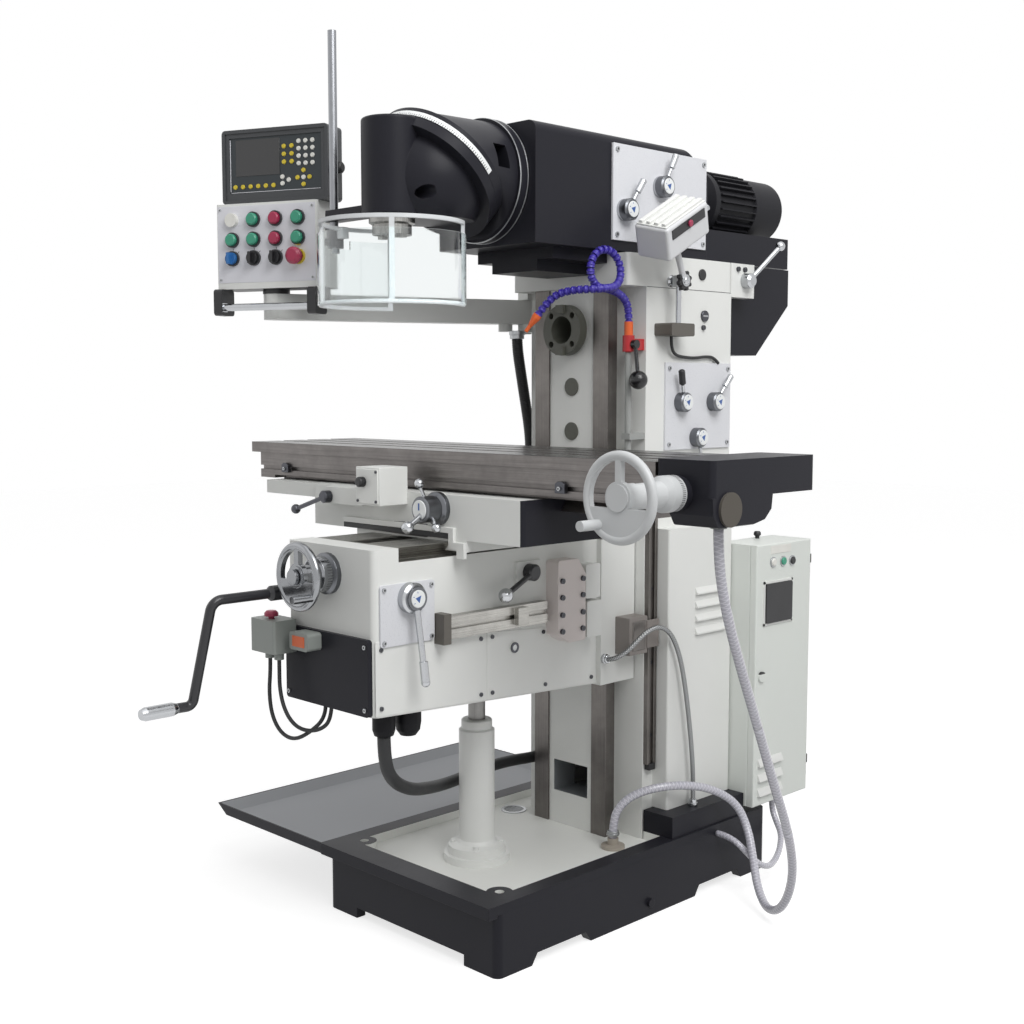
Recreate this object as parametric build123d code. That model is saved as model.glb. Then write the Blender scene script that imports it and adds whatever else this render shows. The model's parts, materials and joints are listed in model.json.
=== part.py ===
from build123d import *
import os
from math import atan2, cos, degrees, hypot, radians, sin, sqrt, tan

os.makedirs("parts", exist_ok=True)

# Gaps between pieces that move on each other
slide_gap = 0.3
shaft_gap = 0.06
face_gap = 0.5

# Base with coolant pan and chip tray
base_width = 610
base_length = 1020
base_height = 170
base_wall = 26
base_corner = 18
pan_depth = 22
pan_rim = 45
deck = 30
rim_lip = 26
foot_gap = 26
corner_foot = 110
middle_pad = 400
bolt_spacing_x = 490
bolt_spacing_y = 890
bolt_hole_d = 22
bolt_post_d = 62
tray_reach = 470
tray_length = 930
tray_depth = 28
tray_slope = 34
tray_wall = 5
pan_drain = (-205, 47)
pan_drain_r = 30
plug_y = 17
plug_z = 34

# Elevating screw and its tube
screw_y = -285
screw_d = 42
tube_d = 88
tube_top = 500
tube_flange_d = 142
tube_boss_d = 164
tube_boss = 18
nut_height = 36

# Column
column_width = 400
column_front = 110
column_depth = 353
column_top = 1640
column_wall = 28
way_width = 254
way_front = 50
way_depth = 34
way_face = 50
way_recess = 5
neck_width = 200
head_block_height = 80
head_block_front = 40
spindle_z = 1455
spindle_end = 330
nose_d = 128.57
journal_d = 100
taper_d = 69.85
lever_plate = 6
gear_y = (182, 456)
gear_z = (1150, 1373)
gear_hubs = ((241, 1272), (377, 1272), (306, 1180))
gear_reach = 86
lever_bar_d = 9
lever_grip_d = 17
lever_grip = 40
clamp_block = 103
clamp_width = 36
clamp_back = 60
clamp_drop = 45

# Covers and electrical cabinet
cover_front = 150
cover_rear = 415
cover_low = 226
cover_high = 952
cover_thick = 50
louvres = 4
louvre_y = (258, 387)
louvre_low = 678
louvre_pitch = 35
cabinet_front = 418
cabinet_rear = 672
cabinet_low = 190
cabinet_high = 895
cabinet_depth = 108
sheet = 4
door_thick = 20
motor_cover_width = 300
motor_cover_height = 242
motor_cover_bend = 144
motor_cover_foot = 187
motor_cover_depth = 340
motor_cover_gap = 2
isolator_y = (455, 576)
isolator_z = (684, 790)
hinge_inset = 70
hinge_offset = 12

# Knee
knee_width = 310
knee_front = -730
knee_low_front = 603
knee_low_rear = 567
knee_shoulder = 935
dovetail_height = 30
dovetail_foot = 230
dovetail_top = 280
knee_wall = 17
knee_cap = 70
crank_x = -95
crank_z = 857
cross_z = 903
cross_screw_d = 32
nut_half = 28
bearing_z = 786
feed_plate_y = (-716, -562)
feed_plate_z = (754, 889)
feed_hub = (-634, 856)
clamp_root = (-269, 877)
box_front = -806
box_x = (-196, -104)
box_z = (715, 790)
gland_x = 100
gland_y = -660
gland_z = 545
dome_y = -590
dome_low = 534
knee_floor = 606
knee_floor_end = -545
knee_floor_thick = 12

# Saddle
saddle_width = 740
saddle_front = -497
saddle_rear = -70
saddle_low = 945
saddle_top = 1070

# Table
table_length = 1394
table_width = 348
table_y = -283
table_top = 1165
table_slab = 27
table_drop = 94
table_inset = 26
tee_pitch = 80
tee_width = 18
tongue_width = 150
tongue_flare = 20
tongue_height = 30
tongue_reach = 620
lead_screw_d = 30
lead_drop = 16
bracket_length = 140
bracket_drop = 123
belly_length = 106
wheel_x = 755
wheel_z = 1107
drain_x = 765
drain_y = -340

# Ram and head
ram_width = 330
ram_front = -250
ram_rear = 400
ram_lift = 5
ram_height = 280
ram_slide_width = 260
ram_slide_depth = 50
ram_slide_front = -155
ram_slide_rear = 640
ram_tongue_width = 156
ram_tongue_height = 27
ram_tail_width = 300
ram_tail_rear = 798
ram_tail_height = 84
swivel_rise = 152
swivel_r = 145
neck_r = 138
joint_y = -416
joint_r = 165
head_y = -542
bulge_r = 138
barrel_r = 68
barrel_drop = 107
barrel_rise = 109
spindle_r = 32
nose_bolt_circle = 66.7
speed_plate_y = (15, 386)
speed_plate_low = 25
speed_plate_high = 258
speed_hubs = ((55, 99), (193, 168), (280, 92))
speed_reach = 88
motor_rise = 177
motor_r = 80
motor_length = 474
guard_r = 165
guard_height = 190
guard_drop = 10
guard_ends = (-220, 40)
guard_posts = (-220, -140, -40, 40)
post_x = -193
post_y = -557
post_r = 10
post_rise = 224

# Control station
arm_x = -240
arm_y = 130
arm_size = 64
arm_low = 1480
station_x = -495
station_y = -511
station_yaw = 23.2
panel_width = 292
panel_low = 1556
panel_high = 1768
panel_depth = 90
readout_width = 304
readout_shift = 23
readout_height = 182
readout_depth = 70
columns = (-96, -34, 30, 94)
rows = (1727, 1678, 1632)

# Lamp, coolant and cables
lamp_pivot = (244, 185, 1575)
valve = (182, 64, 1416)
valve_neck = 34
coolant_d = 13
coolant_rib_d = 20
coolant_bore_d = 8
rib_pitch = 15
nozzle_length = 50
drain_bore = 9
fitting_x = 191
fitting_y = 8
conduit_x = -160
conduit_z = 300
conduit_d = 30

# Heights and edges that follow from the sizes above
pan_floor = base_height - pan_depth
half_base = base_width / 2
bolt_places = GridLocations(bolt_spacing_x, bolt_spacing_y, 2, 2)
half_length = base_length / 2
half_column = column_width / 2
column_rear = column_front + column_depth
ways_top = column_top - head_block_height
ram_low = column_top + ram_lift
ram_top = ram_low + ram_height
ram_slide_low = column_top - ram_slide_depth
ram_slides = ((ram_slide_width / 2, ram_slide_low + ram_tongue_height), (ram_tongue_width / 2, ram_slide_low))
swivel_z = ram_low + swivel_rise
barrel_low = swivel_z - barrel_drop
barrel_high = swivel_z + barrel_rise
motor_z = ram_low + motor_rise
guard_high = barrel_low - guard_drop
guard_low = guard_high - guard_height
half_way = way_width / 2
half_knee = knee_width / 2
knee_rear = way_front - slide_gap
dovetail_z = knee_shoulder + dovetail_height
table_low = table_top - table_drop
half_table = table_length / 2
half_ram = ram_width / 2
screw_r = screw_d / 2
lead_z = table_low + lead_drop
clamp_y = column_rear + clamp_back
clamp_z = column_top - clamp_drop
hinge_x = half_column + cabinet_depth + face_gap
hinge_y = cabinet_rear + hinge_offset
hinge_heights = (cabinet_low + hinge_inset, cabinet_high - hinge_inset)
lamp_place = (columns[0], rows[0])
button_places = [(x, rows[0]) for x in columns[1:]] + [(x, rows[1]) for x in columns]
knob_places = [(x, rows[2]) for x in columns[:3]]
stop_place = (columns[3], rows[2])


def span(x, y, z):
    """Block between pairs of limits."""
    middle = Pos((x[0] + x[1]) / 2, (y[0] + y[1]) / 2, (z[0] + z[1]) / 2)
    return middle * Box(x[1] - x[0], y[1] - y[0], z[1] - z[0])


def rod_x(x, y, z, r):
    """Cylinder along X between two limits."""
    return Pos((x[0] + x[1]) / 2, y, z) * Rot(0, 90, 0) * Cylinder(r, x[1] - x[0])


def rod_y(x, y, z, r):
    """Cylinder along Y between two limits."""
    return Pos(x, (y[0] + y[1]) / 2, z) * Rot(90, 0, 0) * Cylinder(r, y[1] - y[0])


def rod_z(x, y, z, r):
    """Cylinder along Z between two limits."""
    return Pos(x, y, (z[0] + z[1]) / 2) * Cylinder(r, z[1] - z[0])


def prism_x(points, x):
    """Profile of (y, z) points pushed along X."""
    face = Face(Wire.make_polygon([(x[0], p[0], p[1]) for p in points]))
    return extrude(face, amount=x[1] - x[0], dir=(1, 0, 0))


def prism_y(points, y):
    """Profile of (x, z) points pushed along Y."""
    face = Face(Wire.make_polygon([(p[0], y[0], p[1]) for p in points]))
    return extrude(face, amount=y[1] - y[0], dir=(0, 1, 0))


def prism_z(points, z):
    """Profile of (x, y) points pushed along Z."""
    face = Face(Wire.make_polygon([(p[0], p[1], z[0]) for p in points]))
    return extrude(face, amount=z[1] - z[0], dir=(0, 0, 1))


TURNS = {"Z": Rot(0, 0, 0), "X": Rot(0, 90, 0), "Y": Rot(-90, 0, 0), "-Y": Rot(90, 0, 0)}


def turned(points, at, along="Z"):
    """Profile of (radius, height) points spun about its own axis."""
    face = Face(Wire.make_polygon([(p[0], 0, p[1]) for p in points]))
    return Pos(*at) * TURNS[along] * revolve(face, Axis.Z)


def bar(a, b, r):
    """Round bar from one point to another."""
    a = Vector(*a)
    b = Vector(*b)
    return Solid.extrude(Face(Wire.make_circle(r, Plane(a, z_dir=b - a))), b - a)


def ball_bar(a, b, r, ball_r):
    """Round bar from one point to a ball at another, spun as one profile about its own axis."""
    a = Vector(*a)
    b = Vector(*b)
    length = (b - a).length
    neck = length - sqrt(ball_r ** 2 - r ** 2)
    outline = Polyline((0, 0, length + ball_r), (0, 0, 0), (r, 0, 0), (r, 0, neck))
    outline += ThreePointArc((r, 0, neck), (ball_r, 0, length), (0, 0, length + ball_r))
    return Plane(origin=a, z_dir=b - a) * revolve(make_face(outline), Axis.Z)


def grip_bar(a, b, r, grip_r, grip_length):
    """Thin round bar from one point to another with a thicker grip on its far end."""
    a = Vector(*a)
    b = Vector(*b)
    length = (b - a).length
    start = length - grip_length
    profile = [(0, 0), (r, 0), (r, start), (grip_r, start + 3), (grip_r, length - 3), (grip_r - 3, length), (0, length)]
    return Plane(origin=a, z_dir=b - a) * turned(profile, (0, 0, 0))


def route(points):
    """Straight runs with tangent arcs between them."""
    runs = [(Vector(*b) - Vector(*a)) for a, b in zip(points, points[1:])]
    radii = []
    for first, second in zip(runs, runs[1:]):
        half_turn = radians(first.get_angle(second)) / 2
        radii.append(0.45 * min(first.length, second.length) / tan(half_turn))
    return FilletPolyline(*points, radius=radii)


def cord(points, d):
    """Round cord along a route."""
    start = Plane(origin=points[0], z_dir=Vector(*points[1]) - Vector(*points[0]))
    return sweep(start * Circle(d / 2), route(points))


def ribbed(points, d, rib_d, bore_d, pitch):
    """Hose of ball segments along a route, with its bore: a neck, two shoulders and a crest for each segment."""
    path = route(points)
    count = round(path.length / pitch)
    shoulder = d + 0.72 * (rib_d - d)
    rib = ((0, d), (0.2, shoulder), (0.5, rib_d), (0.8, shoulder))
    stations = [(number + share, size) for number in range(count) for share, size in rib] + [(count, d)]
    side = Vector(1, 0, 0)
    rings = []
    for at, size in stations:
        reach = path.length * at / count
        centre = path.position_at(reach, position_mode=PositionMode.LENGTH)
        ahead = path.tangent_at(reach, position_mode=PositionMode.LENGTH)
        side = (side - ahead * side.dot(ahead)).normalized()
        rings.append(Wire.make_circle(size / 2, Plane(origin=centre, x_dir=side, z_dir=ahead)))
    return Solid.make_loft(rings, ruled=True) - cord(points, bore_d)


def wheel(rim, hub, web, hub_length, bore, windows):
    """Handwheel with a heavy lower web and an open upper part; hub back at zero, axis along -Y."""
    radius = rim[0]
    thick = rim[1]
    middle = hub_length - thick
    body = Pos(0, 0, middle) * Torus(radius - thick, thick)
    body += Pos(0, 0, middle) * Cylinder(radius - thick, web)
    opening = Pos(0, 0, middle) * (Cylinder(radius - 2 * thick, 2 * web) - Cylinder(hub + 5, 3 * web))
    low = Pos(0, -radius - windows[0] * radius, middle) * Box(3 * radius, 2 * radius, 4 * web)
    spoke = Pos(0, radius / 2, middle) * Box(windows[1], 2 * radius, 4 * web)
    body -= opening - low - spoke
    body += Pos(0, 0, hub_length / 2) * Cylinder(hub, hub_length)
    if bore > 0:
        body -= Pos(0, 0, hub_length / 2) * Cylinder(bore, 2 * hub_length)
    return Rot(90, 0, 0) * body


def lever(at, hub_r, hub_length, reach, angle):
    """Lever hub on a side face with a bar and grip; the angle is from straight down toward +Y."""
    x, y, z = at
    body = turned([(0, 0), (hub_r, 0), (hub_r, hub_length - 4), (hub_r - 4, hub_length), (0, hub_length)], at, "X")
    a = (x + hub_length / 2, y, z)
    b = (x + hub_length * 0.9, y + reach * sin(radians(angle)), z - reach * cos(radians(angle)))
    return body + grip_bar(a, b, lever_bar_d / 2, lever_grip_d / 2, lever_grip)


# Base casting

def base_casting():
    body = span((-half_base, half_base), (-half_length, half_length), (0, pan_floor))
    body = fillet(body.edges().filter_by(Axis.Z), base_corner)
    inner_x = half_base - base_wall
    inner_y = half_length - base_wall
    body -= span((-inner_x, inner_x), (-inner_y, inner_y), (0, pan_floor - deck))
    for post in bolt_places:
        body += post * rod_z(0, 0, (0, pan_floor), bolt_post_d / 2)
        body -= post * rod_z(0, 0, (-1, base_height + 1), bolt_hole_d / 2)
    body -= span((corner_foot - half_base, half_base - corner_foot), (-2 * half_length, 2 * half_length),
                 (0, foot_gap))
    for side in (-1, 1):
        ends = sorted((side * middle_pad / 2, side * (half_length - corner_foot)))
        body -= prism_x([(ends[0], 0), (ends[1], 0), (ends[1] - 18, foot_gap), (ends[0] + 18, foot_gap)],
                        (-half_base - 1, half_base + 1))
    body -= rod_z(0, screw_y, (0, pan_floor + 1), screw_r + 4)
    body -= rod_z(pan_drain[0], pan_drain[1], (pan_floor - deck - 1, pan_floor + 1), pan_drain_r)
    body -= rod_z(fitting_x, fitting_y, (pan_floor - deck - 1, pan_floor + 1), drain_bore)
    body += rod_x((half_base - 4, half_base + 8), plug_y, plug_z, 11)
    rim = base_rim()
    block = span((half_column + 4, half_base - 6), (cover_front - 38, cover_rear), (pan_floor, cover_low))
    return [body, rim, block - rim, chip_tray()]


def base_rim():
    """Raised frame around the pan with a lip over the front and the upper ends of the bolt posts."""
    body = span((-half_base, half_base), (-half_length, half_length), (pan_floor, base_height))
    body = fillet(body.edges().filter_by(Axis.Z), base_corner)
    front = -half_length
    body += span((-half_base, half_base), (front - rim_lip, front + base_wall), (pan_floor, base_height))
    body += span((-half_base, half_base), (front - rim_lip, front), (pan_floor - 6, pan_floor + 1))
    pocket = span((pan_rim - half_base, half_base - pan_rim), (pan_rim - half_length, half_length - pan_rim),
                  (pan_floor - 1, base_height + 1))
    body -= fillet(pocket.edges().filter_by(Axis.Z), 24)
    for post in bolt_places:
        body += post * rod_z(0, 0, (pan_floor, base_height), bolt_post_d / 2)
        body -= post * rod_z(0, 0, (0, base_height + 1), bolt_hole_d / 2)
    return body


def chip_tray():
    x0 = -half_base - tray_reach
    x1 = -half_base
    y0 = -half_length - rim_lip
    y1 = y0 + tray_length
    outer = tray_shell(x0, x1, y0, y1, base_height - tray_depth, base_height, tray_slope)
    w = tray_wall
    inner = tray_shell(x0 + w, x1 - w, y0 + w, y1 - w, base_height - tray_depth + w, base_height + 0.01,
                       tray_slope - w)
    return outer - inner


def tray_shell(x0, x1, y0, y1, z0, z1, slope):
    low = Face(Wire.make_polygon([(x0 + slope, y0 + 4, z0), (x1, y0 + 4, z0), (x1, y1 - slope, z0),
                                  (x0 + slope, y1 - slope, z0)]))
    high = Face(Wire.make_polygon([(x0, y0, z1), (x1, y0, z1), (x1, y1, z1), (x0, y1, z1)]))
    return loft([low, high], ruled=True)


# Elevating screw tube with its nut

def screw_tube():
    low = pan_floor + tube_boss
    bore = screw_r + 6
    tube = turned([(bore, pan_floor), (tube_boss_d / 2, pan_floor), (tube_boss_d / 2, low),
                   (tube_flange_d / 2, low), (tube_flange_d / 2, low + 20),
                   (tube_d / 2 + 6, low + 26), (tube_d / 2, low + 34), (tube_d / 2, tube_top - nut_height),
                   (bore, tube_top - nut_height)], (0, screw_y, 0))
    bolts = Pos(0, screw_y, low + 20) * PolarLocations(tube_flange_d / 2 - 12, 4, 45)
    for place in bolts:
        tube += place * Cylinder(7, 8, align=(Align.CENTER, Align.CENTER, Align.MIN))
    nut_low = tube_top - nut_height
    nut = turned([(screw_r + slide_gap, nut_low), (tube_d / 2, nut_low), (tube_d / 2, nut_low + 10),
                  (tube_d / 2 - 6, nut_low + 14), (tube_d / 2 - 6, tube_top - 3), (tube_d / 2 - 9, tube_top),
                  (screw_r + slide_gap, tube_top)], (0, screw_y, 0))
    return [tube, nut]


# Column

def column():
    neck = neck_width / 2
    way_back = way_front + way_depth
    plan = [(-half_way, way_front), (half_way, way_front), (half_way, way_back), (neck, way_back),
            (neck, column_front), (half_column, column_front), (half_column, column_rear),
            (-half_column, column_rear), (-half_column, column_front), (-neck, column_front),
            (-neck, way_back), (-half_way, way_back)]
    body = prism_z(plan, (pan_floor, ways_top))
    block = span((-half_column, half_column), (head_block_front, column_rear), (ways_top, column_top))
    body += fillet(block.edges().filter_by(Axis.Z), 10)
    body += span((half_column - clamp_width, half_column), (column_rear - 1, column_rear + clamp_block),
                 (column_top - 90, column_top))
    for half, low in ram_slides:
        groove = half + slide_gap
        body -= span((-groove, groove), (head_block_front - 1, column_rear + clamp_block + 1), (low, column_top + 1))
    strip = half_way - way_face
    body -= span((-strip, strip), (way_front - 1, way_front + way_recess), (pan_floor, ways_top))
    wall = column_wall
    body -= span((wall - half_column, half_column - wall), (column_front + wall, column_rear - wall),
                 (pan_floor + 40, spindle_z - 110))
    body -= span((-60, 60), (way_front - 1, column_front + wall + 1), (pan_floor + 88, pan_floor + 172))
    body -= rod_y(0, (way_front - 1, spindle_end + face_gap), spindle_z, journal_d / 2 + shaft_gap)
    body -= rod_y(0, (spindle_end - 10, column_rear + 1), spindle_z, 16)
    for z in (spindle_z - 144, spindle_z - 258):
        body += rod_y(0, (way_front + 1.5, way_front + way_recess + 1), z, 23)
    body += span((half_column - 1, half_column + lever_plate), (gear_y[0], gear_y[1]), (gear_z[0], gear_z[1]))
    for y, z in gear_hubs:
        body -= rod_x((half_column - 26, half_column + lever_plate + 1), y, z, 12 + shaft_gap)
    lug = [(-half_column + 1, arm_y - 36), (-half_column + 1, arm_y + 40), (arm_x, arm_y + 32),
           (arm_x - 32, arm_y), (arm_x, arm_y - 32)]
    body += prism_z(lug, (arm_low - face_gap - 22, arm_low - face_gap))
    body += prism_z(lug, (arm_low + arm_size + face_gap, arm_low + arm_size + face_gap + 22))
    body += rod_z(arm_x, arm_y, (arm_low - 26, arm_low + arm_size + 26), 14)
    clamp = (half_column - 24, half_column + 1)
    body -= rod_x(clamp, clamp_y, clamp_z, 10 + shaft_gap)
    body -= rod_y(conduit_x, (column_front - 1, column_front + wall + 1), conduit_z, conduit_d / 2 - 3)
    return body


def horizontal_spindle():
    face = way_front - 36
    r = nose_d / 2
    rear = spindle_end
    body = turned([(13, 0), (taper_d / 2 - 15, 0), (taper_d / 2, 0), (r, 0), (r, 26), (journal_d / 2, 26),
                   (journal_d / 2, rear - face), (13, rear - face)], (0, face, spindle_z), "Y")
    body -= turned([(0, -1), (taper_d / 2 + 0.3, -1), (taper_d / 2, 0), (taper_d / 2 - 14.9, 102), (0, 102)],
                   (0, face, spindle_z), "Y")
    for side in (-1, 1):
        z = spindle_z + side * (r - 12)
        body += span((-12.7, 12.7), (face - 9, face + 3), (z - 11, z + 11))
    holes = Pos(0, face, spindle_z) * Rot(90, 0, 0) * PolarLocations(50.8, 4, 45)
    for place in holes:
        body -= place * Cylinder(8, 44)
    return body


def gear_lever(index, angle):
    y, z = gear_hubs[index]
    x = half_column + lever_plate
    body = lever((x + face_gap, y, z), 25, 26, gear_reach, angle)
    body += rod_x((x - 24, x + 4), y, z, 12)
    return body


# Covers and cabinet on the right of the column

def side_cover():
    x = (half_column, half_column + cover_thick)
    body = span(x, (cover_front, cover_rear), (cover_low, cover_high))
    body = fillet(body.edges().filter_by(Axis.Z).group_by(Axis.X)[-1], 6)
    body -= span((x[0] - 1, x[1] - sheet), (cover_front + sheet, cover_rear - sheet),
                 (cover_low + sheet, cover_high - sheet))
    back = x[1] - sheet - 1
    for row in range(louvres):
        z = louvre_low + row * louvre_pitch
        hood = [(x[1] - 1, z + 12), (x[1] - 1, z - 8), (x[1] + 8, z - 8), (x[1] + 8, z - 4)]
        hollow = [(back, z + 8), (back, z - 9), (x[1] + 6, z - 9), (x[1] + 6, z - 5)]
        body += prism_y(hood, louvre_y)
        body -= prism_y(hollow, (louvre_y[0] + 2, louvre_y[1] - 2))
    return body


def cabinet_box():
    x = (half_column, half_column + cabinet_depth)
    body = span(x, (cabinet_front, cabinet_rear), (cabinet_low, cabinet_high))
    body = fillet(body.edges().filter_by(Axis.Z), 5)
    body -= span((x[0] + sheet, x[1] + 1), (cabinet_front + sheet, cabinet_rear - sheet),
                 (cabinet_low + sheet, cabinet_high - sheet))
    body += span((x[0] + sheet, x[0] + 10), (cabinet_front + 24, cabinet_rear - 24),
                 (cabinet_low + 40, cabinet_high - 40))
    for z in hinge_heights:
        body += rod_z(hinge_x, hinge_y, (z - 36, z - face_gap), 9)
        body += rod_z(hinge_x, hinge_y, (z - 36, z + 30), 4)
        body += span((hinge_x - 14, hinge_x), (cabinet_rear - 6, hinge_y), (z - 34, z - 8))
    return body


def cabinet_door():
    x0 = half_column + cabinet_depth + face_gap
    x = (x0, x0 + door_thick)
    body = span(x, (cabinet_front, cabinet_rear), (cabinet_low, cabinet_high))
    body = fillet(body.edges().group_by(Axis.X)[-1], 4)
    body -= span((x0 - 1, x0 + door_thick - sheet), (cabinet_front + sheet, cabinet_rear - sheet),
                 (cabinet_low + sheet, cabinet_high - sheet))
    isolator = span((x[1] - 2, x[1] + 7), isolator_y, isolator_z)
    body += fillet(isolator.edges().filter_by(Axis.X), 8)
    for z in hinge_heights:
        body += rod_z(hinge_x, hinge_y, (z, z + 28), 9)
        body += span((hinge_x, x[1] - 6), (cabinet_rear - 3, hinge_y), (z + 2, z + 26))
        body -= rod_z(hinge_x, hinge_y, (z - 1, z + 29), 4 + shaft_gap)
    body += rod_x((x[1] - 2, x[1] + 6), cabinet_front + 26, (cabinet_low + cabinet_high) / 2, 14)
    return body


def rear_motor_cover():
    y = column_rear
    low = column_top - motor_cover_height
    high = ram_low - slide_gap - motor_cover_gap
    bend = low + motor_cover_bend
    rear = y + motor_cover_depth
    foot = y + motor_cover_foot
    half = motor_cover_width / 2
    body = prism_x([(y, low), (foot, low), (rear, bend), (rear, high), (y, high)], (-half, half))
    inner = [(y - 1, low + sheet), (foot - 2, low + sheet), (rear - sheet, bend + 2), (rear - sheet, high + 1),
             (y - 1, high + 1)]
    body -= prism_x(inner, (sheet - half, half - sheet))
    pass_half = ram_slide_width / 2 + 6
    body -= span((-pass_half, pass_half), (rear - sheet - 1, rear + 1), (ram_slide_low - 6, high + 1))
    return body


# Knee

def dovetail(foot, top, z0, z1, grow=0):
    """Half profile of a dovetail that is wider at its top, mirrored; grown by a running gap."""
    return [(-foot / 2 - grow, z0), (foot / 2 + grow, z0), (top / 2 + grow, z1), (-top / 2 - grow, z1)]


def knee():
    x = half_knee
    side = [(knee_front, knee_low_front), (knee_rear, knee_low_rear), (knee_rear, knee_shoulder),
            (knee_front, knee_shoulder)]
    body = prism_x(side, (-x, x))
    front = body.edges().filter_by(Axis.Z).group_by(Axis.Y)[0]
    body = fillet(front, 14)
    body += prism_y(dovetail(dovetail_foot, dovetail_top, knee_shoulder, dovetail_z),
                    (knee_front + 4, knee_rear))
    cap = span((-x, x), (knee_front, knee_front + knee_cap), (knee_shoulder - 20, dovetail_z))
    body += fillet(cap.edges().filter_by(Axis.Z).group_by(Axis.Y)[0], 14)
    cheek = half_way + slide_gap
    keeper_y = way_front + way_depth + slide_gap
    for s in (-1, 1):
        cx = sorted((s * cheek, s * (x + 16)))
        body += span(cx, (knee_rear - 70, column_front - 3), (knee_low_rear, knee_shoulder))
        kx = sorted((s * (neck_width / 2 + slide_gap), s * (cheek + 2)))
        body += span(kx, (keeper_y, column_front - 3), (knee_low_rear, knee_shoulder))
    hole = x - knee_wall
    body -= prism_x([(knee_front + 24, knee_low_front - 40), (knee_rear - 30, knee_low_rear - 40),
                     (knee_rear - 30, cross_z + 20), (knee_front + 24, cross_z + 20)], (-hole, hole))
    body += span((-hole - 1, hole + 1), (knee_front + 23, knee_floor_end), (knee_floor, knee_floor + knee_floor_thick))
    body -= rod_z(gland_x, gland_y, (knee_floor - 1, knee_floor + knee_floor_thick + 1), conduit_d / 2 + 2)
    body -= span((-nut_half - 4, nut_half + 4), (knee_front + knee_cap + 10, knee_rear - 40),
                 (cross_z, dovetail_z + 1))
    body += span((-hole - 1, hole + 1), (screw_y - 70, screw_y + 70), (bearing_z, bearing_z + 22))
    body -= rod_z(0, screw_y, (bearing_z - 1, bearing_z + 23), screw_r + shaft_gap)
    body += turned([(0, 0), (46, 0), (46, 14), (38, 20), (0, 20)], (0, knee_front + 2, cross_z), "-Y")
    body += turned([(0, 0), (36, 0), (36, 12), (30, 18), (0, 18)], (crank_x, knee_front + 2, crank_z), "-Y")
    body -= rod_y(0, (knee_front - 20, knee_front + 30), cross_z, cross_screw_d / 2 + shaft_gap)
    body -= rod_y(crank_x, (knee_front - 20, knee_front + 30), crank_z, 11 + shaft_gap)
    pad = span((x - 1, x + 5), (feed_plate_y[0], feed_plate_y[1]), (feed_plate_z[0], feed_plate_z[1]))
    body += fillet(pad.edges().filter_by(Axis.X), 8)
    body += span((x - 1, x + 8), (clamp_root[0] - 40, clamp_root[0] + 40), (clamp_root[1] - 26, clamp_root[1] + 26))
    body -= rod_x((x - 14, x + 6), feed_hub[0], feed_hub[1], 10 + shaft_gap)
    body -= rod_x((x - 14, x + 9), clamp_root[0], clamp_root[1], 9 + shaft_gap)
    body += rod_x((x - 1, x + 5), -313, 702, 13)
    cover_y = (knee_front - 12, knee_front)
    cover = span((-x + 6, x - 6), cover_y, (knee_low_front + 2, 773))
    cover = fillet(cover.edges().filter_by(Axis.Y), 8)
    seat = knee_floor - gland_z
    stub = conduit_d / 2 + 2 - slide_gap
    gland = turned([(0, 0), (stub + 5, 0), (stub + 9, 12), (stub + 9, seat), (stub, seat),
                    (stub, seat + knee_floor_thick + 10), (0, seat + knee_floor_thick + 10)], (gland_x, gland_y, gland_z))
    dome = turned([(0, dome_low), (18, dome_low), (27, dome_low + 12), (30, dome_low + 30), (30, knee_floor),
                   (0, knee_floor)], (gland_x, dome_y, 0))
    return [body, cover, gland, dome]


def elevating_screw():
    low = 60
    shoulder = bearing_z + 22 + face_gap
    top = cross_z - cross_screw_d / 2 - 6
    thread = turned([(0, low), (screw_r - 3, low), (screw_r, low + 3), (screw_r, shoulder), (56, shoulder),
                     (56, shoulder + 30), (18, shoulder + 30), (18, top), (0, top)], (0, screw_y, 0))
    teeth = Pos(0, screw_y, shoulder + 15) * PolarLocations(56, 24)
    for place in teeth:
        thread -= place * Rot(24, 0, 0) * Box(9, 6, 60)
    return thread


def knee_crank():
    front = knee_front - 18 - face_gap
    grip_a = (crank_x - 52, -990, 624)
    path = FilletPolyline((crank_x, front, crank_z), (crank_x, -968, crank_z), (grip_a[0], -990, grip_a[2]),
                          (grip_a[0], -1030, grip_a[2] + 1), radius=[26, 16])
    bent = sweep(Plane(origin=(crank_x, front, crank_z), z_dir=(0, -1, 0)) * Circle(11), path)
    bent += turned([(0, 0), (17, 0), (17, 70), (11, 78), (0, 78)], (crank_x, front, crank_z), "-Y")
    bent += rod_y(crank_x, (front - 2, screw_y + 40), crank_z, 11)
    bent += rod_y(crank_x, (screw_y - 46, screw_y + 46), crank_z, 36)
    grip = turned([(0, 0), (12, 0), (15, 10), (15, 74), (11, 84), (0, 84)],
                  (grip_a[0], -1030, grip_a[2] + 1), "-Y")
    return [bent, grip]


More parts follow.
